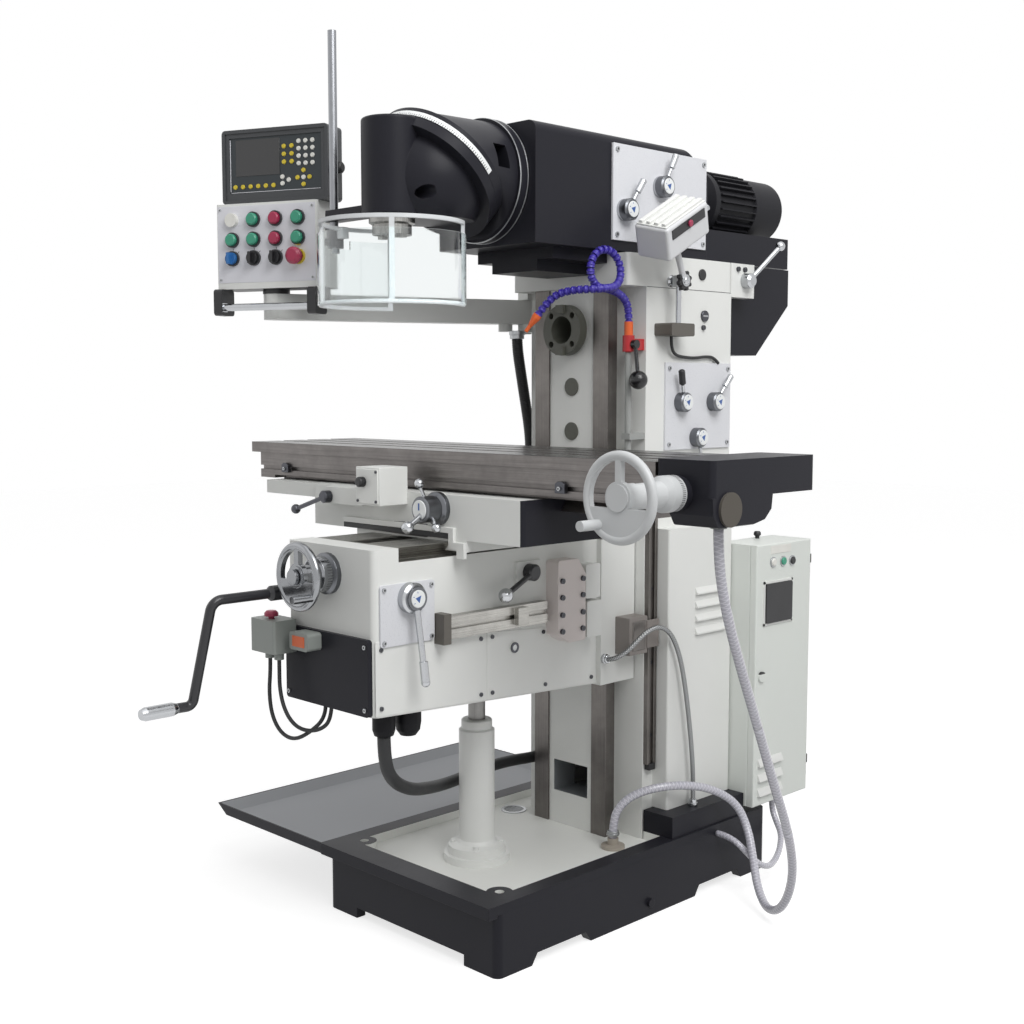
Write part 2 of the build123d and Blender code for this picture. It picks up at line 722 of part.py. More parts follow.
def cross_handwheel():
    front = knee_front - 18 - face_gap
    collar = turned([(cross_screw_d / 2 - 4, 0), (40, 0), (40, 22), (34, 26), (cross_screw_d / 2 - 4, 26)],
                    (0, front, cross_z), "-Y")
    for place in PolarLocations(40, 40):
        collar -= Pos(0, front, cross_z) * Rot(90, 0, 0) * place * Pos(0, 0, 6) * Box(3, 1.4, 13)
    rim = Pos(0, front - 26, cross_z) * wheel((76, 9), 24, 12, 46, cross_screw_d / 2 - 4, (0.1, 15))
    rim += bar((52, front - 62, cross_z - 40), (52, front - 118, cross_z - 40), 9)
    stub = cross_screw_d / 2 - 4
    screw = turned([(0, 0), (cross_screw_d / 2, 0), (cross_screw_d / 2, 690), (0, 690)],
                   (0, front, cross_z), "Y")
    screw += turned([(0, 0), (stub, 0), (stub, 74), (stub + 5, 74), (stub + 5, 82), (0, 82)],
                    (0, front, cross_z), "-Y")
    return [collar, rim, screw]


def trip_rail():
    x = half_knee
    rail = span((x, x + 22), (-538, -218), (752, 804))
    rail -= span((x + 14, x + 23), (-539, -217), (774, 784))
    stop = span((x, x + 34), (-560, -538), (744, 812))
    casting = prism_x([(-201, 720), (-160, 698), (-104, 698), (-104, 860), (-130, 899), (-201, 899)], (x, x + 40))
    casting = fillet(casting.edges().filter_by(Axis.X), 7)
    dog = span((x + 22, x + 36), (-330, -296), (760, 800))
    box_low = span((x, x + 38), (-96, -44), (701, 790))
    box_high = span((x, x + 34), (-96, -44), (796, 880))
    return [rail, stop, casting, dog, fillet(box_low.edges().filter_by(Axis.X), 5),
            fillet(box_high.edges().filter_by(Axis.X), 5)]


def button_box():
    first = span(box_x, (box_front, knee_front - 12), box_z)
    first = fillet(first.edges().filter_by(Axis.Z), 6)
    first -= rod_z(-150, -780, (box_z[1] - 24, box_z[1] + 1), 7.4)
    first += rod_z(-160, -778, (box_z[0] - 16, box_z[0]), 11)
    first += rod_z(-125, -778, (box_z[0] - 16, box_z[0]), 11)
    second = span((-82, -14), (-780, knee_front - 12), (730, 770))
    second = fillet(second.edges().filter_by(Axis.Y), 8)
    return [first, second]


def jog_button():
    return turned([(0, 0), (7, 0), (7, 26), (16, 26), (16, 33), (11, 38), (0, 38)], (-150, -780, box_z[1] - 20))


def feed_lever():
    x = half_knee + 5 + face_gap
    body = turned([(0, 0), (34, 0), (34, 16), (26, 22), (26, 28), (0, 28)], (x, feed_hub[0], feed_hub[1]), "X")
    body += rod_x((x - 18, x + 2), feed_hub[0], feed_hub[1], 10)
    low = (x + 44, feed_hub[0] + 6, 674)
    body += bar((x + 20, feed_hub[0], feed_hub[1]), low, 7)
    return body + ball_bar((x + 40, feed_hub[0] + 4, 720), low, 9.5, 10)


def knee_clamp_lever():
    x = half_knee + 8 + face_gap
    body = turned([(0, 0), (20, 0), (20, 20), (15, 24), (0, 24)], (x, clamp_root[0], clamp_root[1]), "X")
    body += rod_x((x - 18, x + 2), clamp_root[0], clamp_root[1], 9)
    tip = (x + 34, -378, 836)
    return body + ball_bar((x + 14, clamp_root[0], clamp_root[1]), tip, 6.5, 17)


# Saddle

def tongue(grow=0):
    w = tongue_width / 2
    f = tongue_flare
    low = table_low - tongue_height - grow
    return [(table_y - w - grow, table_low + 1), (table_y + w + grow, table_low + 1),
            (table_y + w + f + grow, low), (table_y - w - f - grow, low)]


def saddle():
    hx = saddle_width / 2
    body = span((-hx, hx), (saddle_front, saddle_rear), (saddle_low, saddle_top))
    body = fillet(body.edges().filter_by(Axis.Z), 10)
    for s in (-1, 1):
        cut = sorted((s * (half_knee + 40), s * (hx + 1)))
        body -= span(cut, (saddle_front - 1, saddle_rear + 1), (saddle_low - 1, saddle_low + 26))
    slope = (dovetail_top - dovetail_foot) / dovetail_height
    foot = dovetail_foot + slope * (saddle_low - 1 - knee_shoulder)
    groove = dovetail(foot, dovetail_top, saddle_low - 1, dovetail_z + slide_gap, slide_gap)
    body -= prism_y(groove, (saddle_front - 1, saddle_rear + 1))
    body -= prism_x(tongue(slide_gap), (-hx - 1, hx + 1))
    body += span((-nut_half, nut_half), (table_y - 40, table_y + 40),
                 (cross_z - 22, dovetail_z + 4))
    body -= rod_y(0, (table_y - 50, table_y + 50), cross_z, cross_screw_d / 2 + slide_gap)
    floor = table_low - tongue_height - slide_gap
    body += span((-40, 40), (table_y - 24, table_y + 24), (floor - 1, lead_z + 22))
    body -= rod_x((-50, 50), table_y, lead_z, lead_screw_d / 2 + slide_gap)
    front = saddle_front
    gearbox = span((-590, 1 - hx), (front + 8, table_y - tongue_width / 2 - tongue_flare - 6), (1036, saddle_top - 1))
    body += fillet(gearbox.edges().filter_by(Axis.Z).group_by(Axis.X)[0], 10)
    stop = span((-293, -127), (front - 34, front + 2), (1030, saddle_top))
    body += fillet(stop.edges().filter_by(Axis.Y), 10)
    body += turned([(0, 0), (38, 0), (38, 14), (30, 20), (0, 20)], (104, front + 2, 1038), "-Y")
    body -= rod_y(104, (front - 20, front + 20), 1038, 10 + shaft_gap)
    body -= rod_y(-260, (front - 36, front + 4), 1046, 9 + shaft_gap)
    wiper = prism_y([(-236, 990), (-7, 1000), (64, 1000), (64, 970), (-40, 970), (-236, 976)],
                    (front - 5, front))
    return [body, wiper]


def table_clamp_lever():
    front = saddle_front - 34 - face_gap
    body = turned([(0, 0), (15, 0), (15, 18), (11, 22), (0, 22)], (-260, front, 1046), "-Y")
    body += rod_y(-260, (front - 2, front + 30), 1046, 9)
    return body + ball_bar((-260, front - 12, 1046), (-366, front - 22, 1010), 5.5, 12)


def table_feed_lever():
    front = saddle_front - 18 - face_gap
    body = turned([(0, 0), (26, 0), (26, 16), (20, 24), (0, 24)], (104, front, 1038), "-Y")
    body += rod_y(104, (front - 2, front + 24), 1038, 10)
    return body + ball_bar((104, front - 14, 1038), (112, front - 82, 1002), 7, 14)


# Table

def table():
    w = table_width / 2
    slab_low = table_top - table_slab
    body = span((-half_table, half_table), (table_y - w, table_y + w), (slab_low, table_top))
    body += span((table_inset - half_table, half_table), (table_y - w + 10, table_y + w - 10),
                 (table_low, slab_low + 1))
    profile = tongue()
    body += prism_x(profile, (-tongue_reach, tongue_reach))
    body -= span((-half_table - 1, half_table + 1), (table_y - 28, table_y + 28),
                 (table_low - tongue_height - 1, lead_z + 26))
    for row in (-1, 0, 1):
        y = table_y + row * tee_pitch
        body -= span((-half_table - 1, half_table + 1), (y - tee_width / 2, y + tee_width / 2),
                     (table_top - 16, table_top + 1))
        body -= span((-half_table - 1, half_table + 1), (y - 15, y + 15), (table_top - 30, table_top - 15))
    groove_y = table_y - w + 10
    body -= span((-half_table, half_table + 1), (groove_y - 1, groove_y + 9), (table_low + 22, table_low + 32))
    for s in (-1, 1):
        edge = sorted((table_y + s * (w - 10), table_y + s * (w - 42)))
        body -= span((90 - half_table, half_table - 30), edge, (table_low - 1, table_low + 8))
    return body


def table_end_brackets():
    x = (half_table, half_table + bracket_length)
    w = table_width / 2
    high = table_top + 7
    low = table_top - 66
    right = span(x, (table_y - w, table_y + w), (low, high))
    right = fillet(right.edges().filter_by(Axis.Z), 12)
    front = table_y - w
    foot = table_top - bracket_drop
    belly = prism_x([(front, low + 1), (front + 3, foot + 24), (front + 18, foot), (front + 132, foot), (front + 172, foot + 8),
                     (front + 194, foot + 28), (front + 198, low + 1)], (x[1] - belly_length, x[1]))
    belly = fillet(belly.edges().filter_by(Axis.X).group_by(Axis.Z)[0], 8)
    right += belly
    right -= rod_x((x[0] - 1, x[1] - 12), table_y, lead_z, lead_screw_d / 2 + shaft_gap)
    right += rod_x((x[1] - 2, x[1] + 6), front + 53, foot + 34, 34)
    right -= rod_y(wheel_x, (table_y - w - 1, table_y - 60), wheel_z, 16 + shaft_gap)
    right += turned([(16 + shaft_gap, 0), (34, 0), (34, 14), (30, 18), (16 + shaft_gap, 18)],
                    (wheel_x, table_y - w, wheel_z), "-Y")
    right += rod_z(drain_x, drain_y, (foot - 12, foot + 1), 17)
    left = span((table_inset - half_table - 14, table_inset - half_table), (table_y - 80, table_y + 80),
                (table_low - 20, table_top - table_slab - 4))
    left = fillet(left.edges().filter_by(Axis.X), 10)
    left -= rod_x((-half_table - 1, 0), table_y, lead_z, lead_screw_d / 2 + shaft_gap)
    return [right, left]


def table_screw():
    end = half_table + bracket_length - 14
    body = rod_x((table_inset - half_table - 30, end), table_y, lead_z, lead_screw_d / 2)
    return body


def table_handwheel():
    seat = table_y - table_width / 2 - 18 - face_gap
    body = turned([(0, 0), (36, 0), (36, 34), (26, 44), (24, 130), (0, 130)], (wheel_x, seat, wheel_z), "-Y")
    body += Pos(wheel_x, seat - 118, wheel_z) * wheel((88, 9), 26, 12, 46, 0, (0.22, 14))
    body += rod_y(wheel_x, (seat - 2, table_y - 70), wheel_z, 16)
    body += bar((wheel_x - 48, seat - 150, wheel_z - 52), (wheel_x - 48, seat - 212, wheel_z - 52), 10)
    return body


# Ram

def ram():
    x = half_ram
    side = [(ram_front, ram_low), (ram_rear, ram_low), (ram_rear, ram_top - 80), (ram_rear - 88, ram_top),
            (ram_front, ram_top)]
    body = prism_x(side, (-x, x))
    tops = body.edges().filter_by(Axis.Y).group_by(Axis.Z)[-1]
    body = fillet(tops, 24)
    for half, low in ram_slides:
        body += span((-half, half), (ram_slide_front, ram_slide_rear), (low + slide_gap, ram_low + 1))
    tail = ram_tail_width / 2
    body += span((-tail, tail), (ram_rear - 1, ram_tail_rear), (ram_low, ram_low + ram_tail_height))
    body += span((x - 1, x + lever_plate), speed_plate_y, (ram_low + speed_plate_low, ram_low + speed_plate_high))
    for y, rise in speed_hubs:
        body -= rod_x((x - 26, x + lever_plate + 1), y, ram_low + rise, 12 + shaft_gap)
    body -= rod_y(0, (ram_front - 1, ram_front + 70), swivel_z, 60 + shaft_gap)
    body -= rod_y(0, (ram_rear - 110, ram_rear + 1), motor_z, 22 + shaft_gap)
    return body


def speed_lever(index, angle):
    y, rise = speed_hubs[index]
    z = ram_low + rise
    x = half_ram + lever_plate
    body = lever((x + face_gap, y, z), 27, 30, speed_reach, angle)
    body += rod_x((x - 24, x + 4), y, z, 12)
    return body


def drive_motor():
    y = ram_rear
    r = motor_r
    end = motor_length
    cowl = end - 144
    ribs = (168, cowl)
    body = turned([(0, -100), (22, -100), (22, 0), (r + 4, 0), (r + 4, 30), (r - 14, 44), (r - 14, 130), (r + 10, 140),
                   (r + 10, 160), (r, ribs[0]), (r, cowl), (r + 7, cowl + 4), (r + 7, end - 16), (r - 8, end), (0, end)],
                  (0, y, motor_z), "Y")
    for place in PolarLocations(r + 5, 28):
        rib = Pos(0, 0, (ribs[0] + ribs[1]) / 2) * Box(14, 4, ribs[1] - ribs[0])
        body += Pos(0, y, motor_z) * Rot(-90, 0, 0) * place * rib
    body += span((-r - 42, 6 - r), (y + 184, y + 304), (motor_z - 55, motor_z + 55))
    return body


def ram_clamp_lever():
    x = half_column + face_gap
    body = turned([(0, 0), (20, 0), (20, 22), (14, 28), (0, 28)], (x, clamp_y, clamp_z), "X")
    body += rod_x((x - 22, x + 2), clamp_y, clamp_z, 10)
    tip = (x + 46, clamp_y + 96, clamp_z + 96)
    return body + ball_bar((x + 14, clamp_y, clamp_z), tip, 6.5, 13)


# Swivel head

def tilt_plane(offset, r):
    """Circle on the inclined joint, pushed along the joint's axis."""
    k = sqrt(0.5)
    centre = (0, joint_y - k * offset, swivel_z - k * offset)
    return Plane(origin=centre, x_dir=(1, 0, 0), z_dir=(0, -1, -1)) * Circle(r)


def swivel_face(y, r):
    return Plane(origin=(0, y, swivel_z), x_dir=(1, 0, 0), z_dir=(0, -1, 0)) * Circle(r)


def head_swivel():
    front = ram_front - face_gap
    body = rod_y(0, (front - 30, front), swivel_z, swivel_r)
    body += rod_y(0, (front - 1, ram_front + 66), swivel_z, 60)
    body += loft([swivel_face(front - 30, neck_r), tilt_plane(-28, joint_r - 7)])
    body += extrude(tilt_plane(-28, joint_r), amount=28 - face_gap / 2)
    body -= extrude(tilt_plane(-face_gap / 2, 600), amount=600)
    body -= extrude(tilt_plane(-60, 40 + shaft_gap), amount=120)
    body -= span((60, joint_r), (front - 104, front - 60), (swivel_z + 10, swivel_z + 64))
    return body


def milling_head():
    body = extrude(tilt_plane(face_gap / 2, joint_r), amount=26)
    inset = 30 * sqrt(0.5)
    bulge = Pos(0, joint_y - inset, swivel_z - inset) * Sphere(bulge_r)
    bulge -= span((-joint_r, joint_r), (head_y - joint_r, ram_front), (barrel_low - joint_r, barrel_low))
    body += bulge
    barrel = rod_z(0, head_y, (barrel_low, barrel_high), barrel_r)
    body += fillet(barrel.edges().filter_by(GeomType.CIRCLE), 7)
    body += extrude(tilt_plane(-54, 40), amount=60)
    rear = extrude(tilt_plane(face_gap / 2, 600), amount=-600)
    body -= rear - extrude(tilt_plane(-54, 40), amount=60)
    body -= rod_z(0, head_y, (barrel_low - 1, barrel_high - 44), spindle_r + shaft_gap)
    body -= rod_z(0, head_y, (barrel_high - 45, barrel_high + 1), 14)
    place = Plane(origin=(0, head_y, barrel_low + 49), x_dir=(0, 0, 1), z_dir=(cos(radians(10)), sin(radians(10)), 0))
    body -= place * Pos(0, 0, barrel_r + 20) * Cylinder(15, 56)
    arm = span((post_x - 18, -20), (post_y - 18, post_y + 18), (barrel_low + 4, barrel_low + 30))
    arm -= rod_z(0, head_y, (barrel_low, barrel_low + 60), barrel_r)
    arm -= bulge
    arm -= rod_z(post_x, post_y, (barrel_low, barrel_low + 60), post_r)
    arm = fillet(arm.edges().filter_by(Axis.Z).group_by(Axis.X)[0], 12)
    post = rod_z(post_x, post_y, (guard_high - 58, barrel_high + post_rise), post_r)
    return [body, arm, post]


def vertical_spindle():
    low = barrel_low - 40
    body = turned([(0, low), (44.4, low), (44.4, low + 22), (52, low + 26), (52, barrel_low - face_gap),
                   (spindle_r, barrel_low - face_gap), (spindle_r, barrel_high - 48), (0, barrel_high - 48)],
                  (0, head_y, 0))
    body -= turned([(0, -1), (22.5, -1), (22.2, 0), (8, 96), (0, 96)], (0, head_y, low))
    for side in (-1, 1):
        body += span((side * 33 - 8, side * 33 + 8), (head_y - 8, head_y + 8), (low - 7, low + 3))
    for place in Pos(0, head_y, low) * PolarLocations(nose_bolt_circle / 2, 4, 45):
        body -= place * Cylinder(8, 40)
    return body


def guard_ring(inner, outer, z):
    """Part ring about the spindle, open toward the ram."""
    ring = rod_z(0, head_y, z, outer) - rod_z(0, head_y, (z[0] - 1, z[1] + 1), inner)
    a, b = (radians(angle) for angle in guard_ends)
    far = 3 * outer
    gap = prism_z([(0, head_y), (far * cos(b), head_y + far * sin(b)), (0, head_y + 2 * far),
                   (far * cos(a), head_y + far * sin(a))], (z[0] - 2, z[1] + 2))
    return ring - gap


def guard_frame():
    body = guard_ring(guard_r - 7, guard_r, (guard_high - 9, guard_high))
    body += guard_ring(guard_r - 7, guard_r, (guard_low, guard_low + 9))
    for angle in guard_posts:
        edge = 2 if angle == guard_ends[0] else -2 if angle == guard_ends[1] else 0
        a = radians(angle + edge)
        x = (guard_r - 3.7) * cos(a)
        y = head_y + (guard_r - 3.7) * sin(a)
        body += Pos(x, y, (guard_low + guard_high) / 2) * Rot(0, 0, angle + edge) * Box(7, 12, guard_high - guard_low)
    collar_z = (guard_high - 46, guard_high)
    body += rod_z(post_x, post_y, collar_z, post_r + 11)
    body += span((post_x, -guard_r + 14), (post_y - 9, post_y + 9), (guard_high - 26, guard_high))
    body -= rod_z(post_x, post_y, (guard_high - 60, guard_high + 1), post_r + shaft_gap)
    body += rod_y(post_x, (post_y - 44, post_y - 18), guard_high - 34, 8)
    return body


def guard_shield():
    body = guard_ring(guard_r, guard_r + 3, (guard_low + 4, guard_high - 30))
    return body - span((post_x - 30, -guard_r + 16), (post_y - 24, post_y + 24), (guard_high - 50, guard_high))


# Control station

def station(body):
    return Pos(station_x, station_y, 0) * Rot(0, 0, station_yaw) * body


def control_arm():
    dx = station_x - arm_x
    dy = station_y - arm_y
    length = hypot(dx, dy)
    turn = degrees(atan2(dx, -dy))
    half = arm_size / 2
    tube = span((-half, half), (-length - half, half), (0, arm_size))
    tube = fillet(tube.edges().filter_by(Axis.Z), half - 2)
    hollow = span((4 - half, half - 4), (-length + 40, -40), (4, arm_size - 4))
    tube -= hollow
    tube += rod_z(0, -62, (-20, 1), 19)
    tube = Pos(arm_x, arm_y, arm_low) * Rot(0, 0, turn) * tube
    tube -= rod_z(arm_x, arm_y, (arm_low - 1, arm_low + arm_size + 1), 14 + shaft_gap)
    tube -= rod_z(station_x, station_y, (arm_low + 14, arm_low + arm_size + 1), 13 + shaft_gap)
    return tube


def control_panel():
    hw = panel_width / 2
    hd = panel_depth / 2
    shell = span((-hw, hw), (-hd, hd), (panel_low, panel_high))
    shell = fillet(shell.edges().filter_by(Axis.Z), 7)
    shell -= span((3 - hw, hw - 3), (3 - hd, hd - 3), (panel_low + 3, panel_high - 3))
    for x, z in button_places + knob_places + [stop_place]:
        shell += rod_y(x, (-hd - 8, -hd + 1), z, 19)
        shell -= rod_y(x, (-hd - 9, -hd - 1), z, 15.6)
        shell -= rod_y(x, (-hd - 2, -hd + 4), z, 8.3)
    shell += rod_y(lamp_place[0], (-hd - 12, -hd + 2), lamp_place[1], 17)
    swivel = arm_low + arm_size + face_gap
    shell += rod_z(0, 0, (swivel, panel_low + 1), 34)
    shell += rod_z(0, 0, (swivel - 40, panel_low + 1), 13)
    ends = []
    for x in (18 - hw, hw - 4):
        block = span((x - 12, x + 12), (-hd - 26, -hd + 30), (panel_low - 66, panel_low))
        block = fillet(block.edges().filter_by(Axis.X), 9)
        ends.append(station(block))
    grip = station(rod_x((-hw + 30, hw - 16), -hd - 12, panel_low - 46, 9))
    return [station(shell), ends[0], ends[1], grip]


def push_button(place):
    face = -panel_depth / 2
    body = turned([(0, -20), (8, -20), (8, 6.5), (15, 6.5), (15, 15), (12, 18), (0, 18)],
                  (place[0], face, place[1]), "-Y")
    return station(body)


def selector(place):
    face = -panel_depth / 2
    body = turned([(0, -20), (8, -20), (8, 1.6), (15, 1.6), (15, 16), (0, 16)], (place[0], face, place[1]), "-Y")
    body += span((place[0] - 4, place[0] + 4), (face - 28, face - 15), (place[1] - 14, place[1] + 14))
    return station(body)


def emergency_stop():
    face = -panel_depth / 2
    body = turned([(0, -20), (8, -20), (8, 4), (13, 4), (13, 20), (21, 22), (21, 30), (14, 36), (0, 36)],
                  (stop_place[0], face, stop_place[1]), "-Y")
    return station(body)


def readout_unit():
    x = (readout_shift - readout_width / 2, readout_shift + readout_width / 2)
    low = panel_high
    hd = readout_depth / 2
    shell = span(x, (-hd - 4, hd - 4), (low, low + readout_height))
    shell = fillet(shell.edges().filter_by(Axis.Y), 10)
    shell -= span((x[0] + 9, x[1] - 9), (-hd - 5, -hd - 1), (low + 9, low + readout_height - 9))
    shell -= span((x[0] + 20, x[1] - 20), (-hd - 2, -hd + 2), (low + 26, low + readout_height - 20))
    return station(shell)


# Lamp and coolant

def lamp_bracket():
    x = half_column
    foot = span((x, x + 56), (142, 234), (1438, 1470))
    foot = fillet(foot.edges().filter_by(Axis.X), 6)
    foot += rod_z(lamp_pivot[0] - 2, lamp_pivot[1], (1468, lamp_pivot[2] - 4), 7)
    foot += span((lamp_pivot[0] - 12, lamp_pivot[0] + 6), (lamp_pivot[1] - 13, lamp_pivot[1] + 13),
                 (lamp_pivot[2] - 16, lamp_pivot[2] + 13))
    foot -= rod_x((lamp_pivot[0] - 20, lamp_pivot[0] + 20), lamp_pivot[1], lamp_pivot[2], 6 + shaft_gap)
    return foot


def lamp_head():
    px, py, pz = lamp_pivot
    joint = px + 6 + face_gap
    body = rod_x((px - 30, joint + 4), py, pz, 6)
    body += turned([(0, 0), (13, 0), (16, 6), (13, 12), (0, 12)], (px - 30, py, pz), "X")
    body += rod_x((joint, joint + 16), py, pz, 15)
    body += bar((joint + 8, py, pz), (joint + 38, py - 86, pz + 112), 8)
    box = Box(96, 176, 84)
    box = fillet(box.edges(), 8)
    box -= Pos(0, 0, -42) * Box(80, 150, 8)
    for i in range(7):
        box -= Pos(0, -66 + 22 * i, 42) * Box(84, 7, 22)
    body += Pos(joint + 40, py - 88, pz + 118) * Rot(28, 14, 0) * box
    return body


def coolant_fittings():
    x, y, z = valve
    pipe = rod_z(x, y, (1020, z - 18), 8)
    pipe += bar((x, y, 1020), (x, column_front, 1020), 8)
    pipe += Pos(x, y, 1020) * Sphere(8)
    body = rod_z(x, y, (z - 18, z + 22), 15)
    body += rod_z(x, y, (z + 22, z + 22 + valve_neck), coolant_rib_d / 2 + 1)
    body += span((x - 12, x + 12), (y + 2, column_front), (z - 14, z + 14))
    body -= rod_x((x + 2, x + 20), y, z, 6 + shaft_gap)
    socket = turned([(drain_bore, 0), (30, 0), (30, 8), (drain_bore + 5, 10), (drain_bore + 5, 26), (drain_bore, 26)],
                    (fitting_x, fitting_y, pan_floor))
    clip = span((x - 9, x + 16), (y - 12, column_front), (1180, 1196))
    clip -= rod_z(x, y, (1170, 1200), 8)
    end = Vector(*coolant_route[-1])
    cone = turned([(3, 0), (coolant_rib_d / 2 + 1, 0), (coolant_rib_d / 2 + 1, 9), (5, 34), (5, nozzle_length),
                   (3, nozzle_length)], (0, 0, 0))
    nozzle = Plane(origin=end, z_dir=end - Vector(*coolant_route[-2])) * cone
    return [pipe, body, socket, clip, nozzle]


def coolant_valve_lever():
    x, y, z = valve
    body = rod_x((x + 3, x + 24), y, z, 6)
    body += rod_x((x + 15 + face_gap, x + 28), y, z, 11)
    return body + ball_bar((x + 22, y, z), (x + 36, y - 4, z - 88), 5, 23)


# Hoses and cables

coolant_route = [(valve[0], valve[1], valve[2] + 22 + valve_neck), (182, 64, 1503), (182, 46, 1530), (183, 12, 1544),
                 (184, -24, 1549), (185, -59, 1550), (187, -85, 1576), (190, -85, 1614), (193, -59, 1640),
                 (197, -21, 1640), (202, 5, 1614), (207, 5, 1576), (213, -21, 1551), (213, -60, 1546),
                 (196, -95, 1543), (164, -116, 1542), (128, -134, 1534), (105, -149, 1513), (88, -162, 1484)]


def coolant_hose():
    return ribbed(coolant_route, coolant_d, coolant_rib_d, coolant_bore_d, rib_pitch)


drain_route = [(drain_x, drain_y, 1030), (drain_x, drain_y, 962), (756, -296, 846), (739, -218, 718),
               (719, -128, 580), (700, -38, 436), (680, 54, 300), (654, 120, 190), (622, 154, 106), (580, 176, 46),
               (526, 202, 26), (472, 240, 52), (426, 284, 106), (384, 320, 166), (350, 318, 228),
               (324, 256, 274), (298, 178, 298), (260, 106, 300), (222, 52, 284), (199, 20, 254), (191, 8, 214),
               (191, 8, 174)]
pump_route = [(half_base, 292, 146), (349, 292, 146), (388, 300, 118), (406, 330, 80), (404, 384, 56), (388, 440, 58),
              (366, 494, 74), (340, 536, 96), (312, 552, 120), (291, 560, 150), (290, 560, cabinet_low)]
lamp_cable_route = [(216, 190, 1438), (216, 190, 1413), (212, 208, 1393), (207, 246, 1387), (207, 300, 1385),
                    (207, 345, 1390), (207, 382, 1388), (207, 400, 1373)]
arm_cable_route = [(-216, 70, 1460), (-216, 70, 1420), (-222, 90, 1352), (-228, 114, 1270), (-234, 138, 1186),
                   (-252, 160, 1108), (-278, 178, 1034), (-298, 188, 958), (-298, 194, 884), (-276, 198, 818),
                   (-232, 200, 774), (-176, 200, 752)]
knee_cable_route = [(gland_x, gland_y, gland_z), (100, -660, 485), (92, -630, 432), (54, -544, 386), (-14, -430, 352),
                    (-76, -320, 326), (-116, -210, 316), (-140, -100, 316), (-156, 0, 308), (-160, 70, 300),
                    (-160, 110, 300)]
braided_route = [(half_knee + 16, -9, 634), (194, -9, 634), (214, -1, 643), (230, 18, 660), (239, 44, 684),
                 (246, 74, 704), (254, 108, 712), (262, 140, 694), (267, 164, 652), (270, 184, 590), (272, 204, 490),
                 (272, 222, 380), (272, 230, 300), (272, 230, cover_low)]
cable_a = [(-160, -778, 699), (-160, -778, 668), (-164, -780, 620), (-158, -778, 566), (-128, -776, 530),
           (-84, -772, 520), (-48, -758, 538), (-34, -718, 570), (-34, -718, 602)]
cable_b = [(-125, -778, 699), (-125, -778, 672), (-122, -780, 634), (-108, -780, 592), (-82, -776, 560),
           (-50, -766, 546), (-24, -742, 548), (-13, -720, 568), (-12, -718, 602)]


def hoses_and_cables():
    conduit = cord(arm_cable_route, conduit_d)
    conduit -= span((-half_column, 0), (column_front, column_rear), (pan_floor, ways_top))
    return [cord(pump_route, 16), cord(lamp_cable_route, 8), conduit]


def knee_hoses():
    return [cord(knee_cable_route, conduit_d), cord(braided_route, 12),
            cord(cable_a, 9), cord(cable_b, 9)]


def drain_hose():
    return cord(drain_route, 21)


nodes = {
    "base_casting": base_casting(),
    "screw_tube": screw_tube(),
    "column": column(),
    "side_cover": side_cover(),
    "cabinet_box": cabinet_box(),
    "cabinet_door": cabinet_door(),
    "rear_motor_cover": rear_motor_cover(),
    "horizontal_spindle": horizontal_spindle(),
    "gear_lever_front": gear_lever(0, 197),
    "gear_lever_rear": gear_lever(1, 144),
    "gear_lever_low": gear_lever(2, 0),
    "lamp_bracket": lamp_bracket(),
    "lamp_head": lamp_head(),
    "coolant_fittings": coolant_fittings(),
    "coolant_valve_lever": coolant_valve_lever(),
    "coolant_hose": coolant_hose(),
    "hoses_and_cables": hoses_and_cables(),
    "knee": knee(),
    "elevating_screw": elevating_screw(),
    "knee_crank": knee_crank(),
    "cross_handwheel": cross_handwheel(),
    "trip_rail": trip_rail(),
    "button_box": button_box(),
    "jog_button": jog_button(),
    "feed_lever": feed_lever(),
    "knee_clamp_lever": knee_clamp_lever(),
    "knee_hoses": knee_hoses(),
    "saddle": saddle(),
    "table_clamp_lever": table_clamp_lever(),
    "table_feed_lever": table_feed_lever(),
    "table": table(),
    "table_end_brackets": table_end_brackets(),
    "table_screw": table_screw(),
    "table_handwheel": table_handwheel(),
    "drain_hose": drain_hose(),
    "ram": ram(),
    "drive_motor": drive_motor(),
    "speed_lever_front": speed_lever(0, 150),
    "speed_lever_top": speed_lever(1, 159),
    "speed_lever_rear": speed_lever(2, 117),
    "ram_clamp_lever": ram_clamp_lever(),
    "head_swivel": head_swivel(),
    "milling_head": milling_head(),
    "vertical_spindle": vertical_spindle(),
    "guard_frame": guard_frame(),
    "guard_shield": guard_shield(),
    "control_arm": control_arm(),
    "control_panel": control_panel(),
    "readout_unit": readout_unit(),
    "emergency_stop": emergency_stop(),
}
for number, place in enumerate(button_places, 1):
    nodes["push_button_%d" % number] = push_button(place)
for number, place in enumerate(knob_places, 1):
    nodes["selector_%d" % number] = selector(place)

for name, body in nodes.items():
    if isinstance(body, list):
        body = Compound(children=[piece for piece in body])
    export_step(body, "parts/%s.step" % name)
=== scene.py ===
import json
from math import cos, pi, radians, sin, sqrt
import bmesh
import bpy
from mathutils import Matrix, Vector


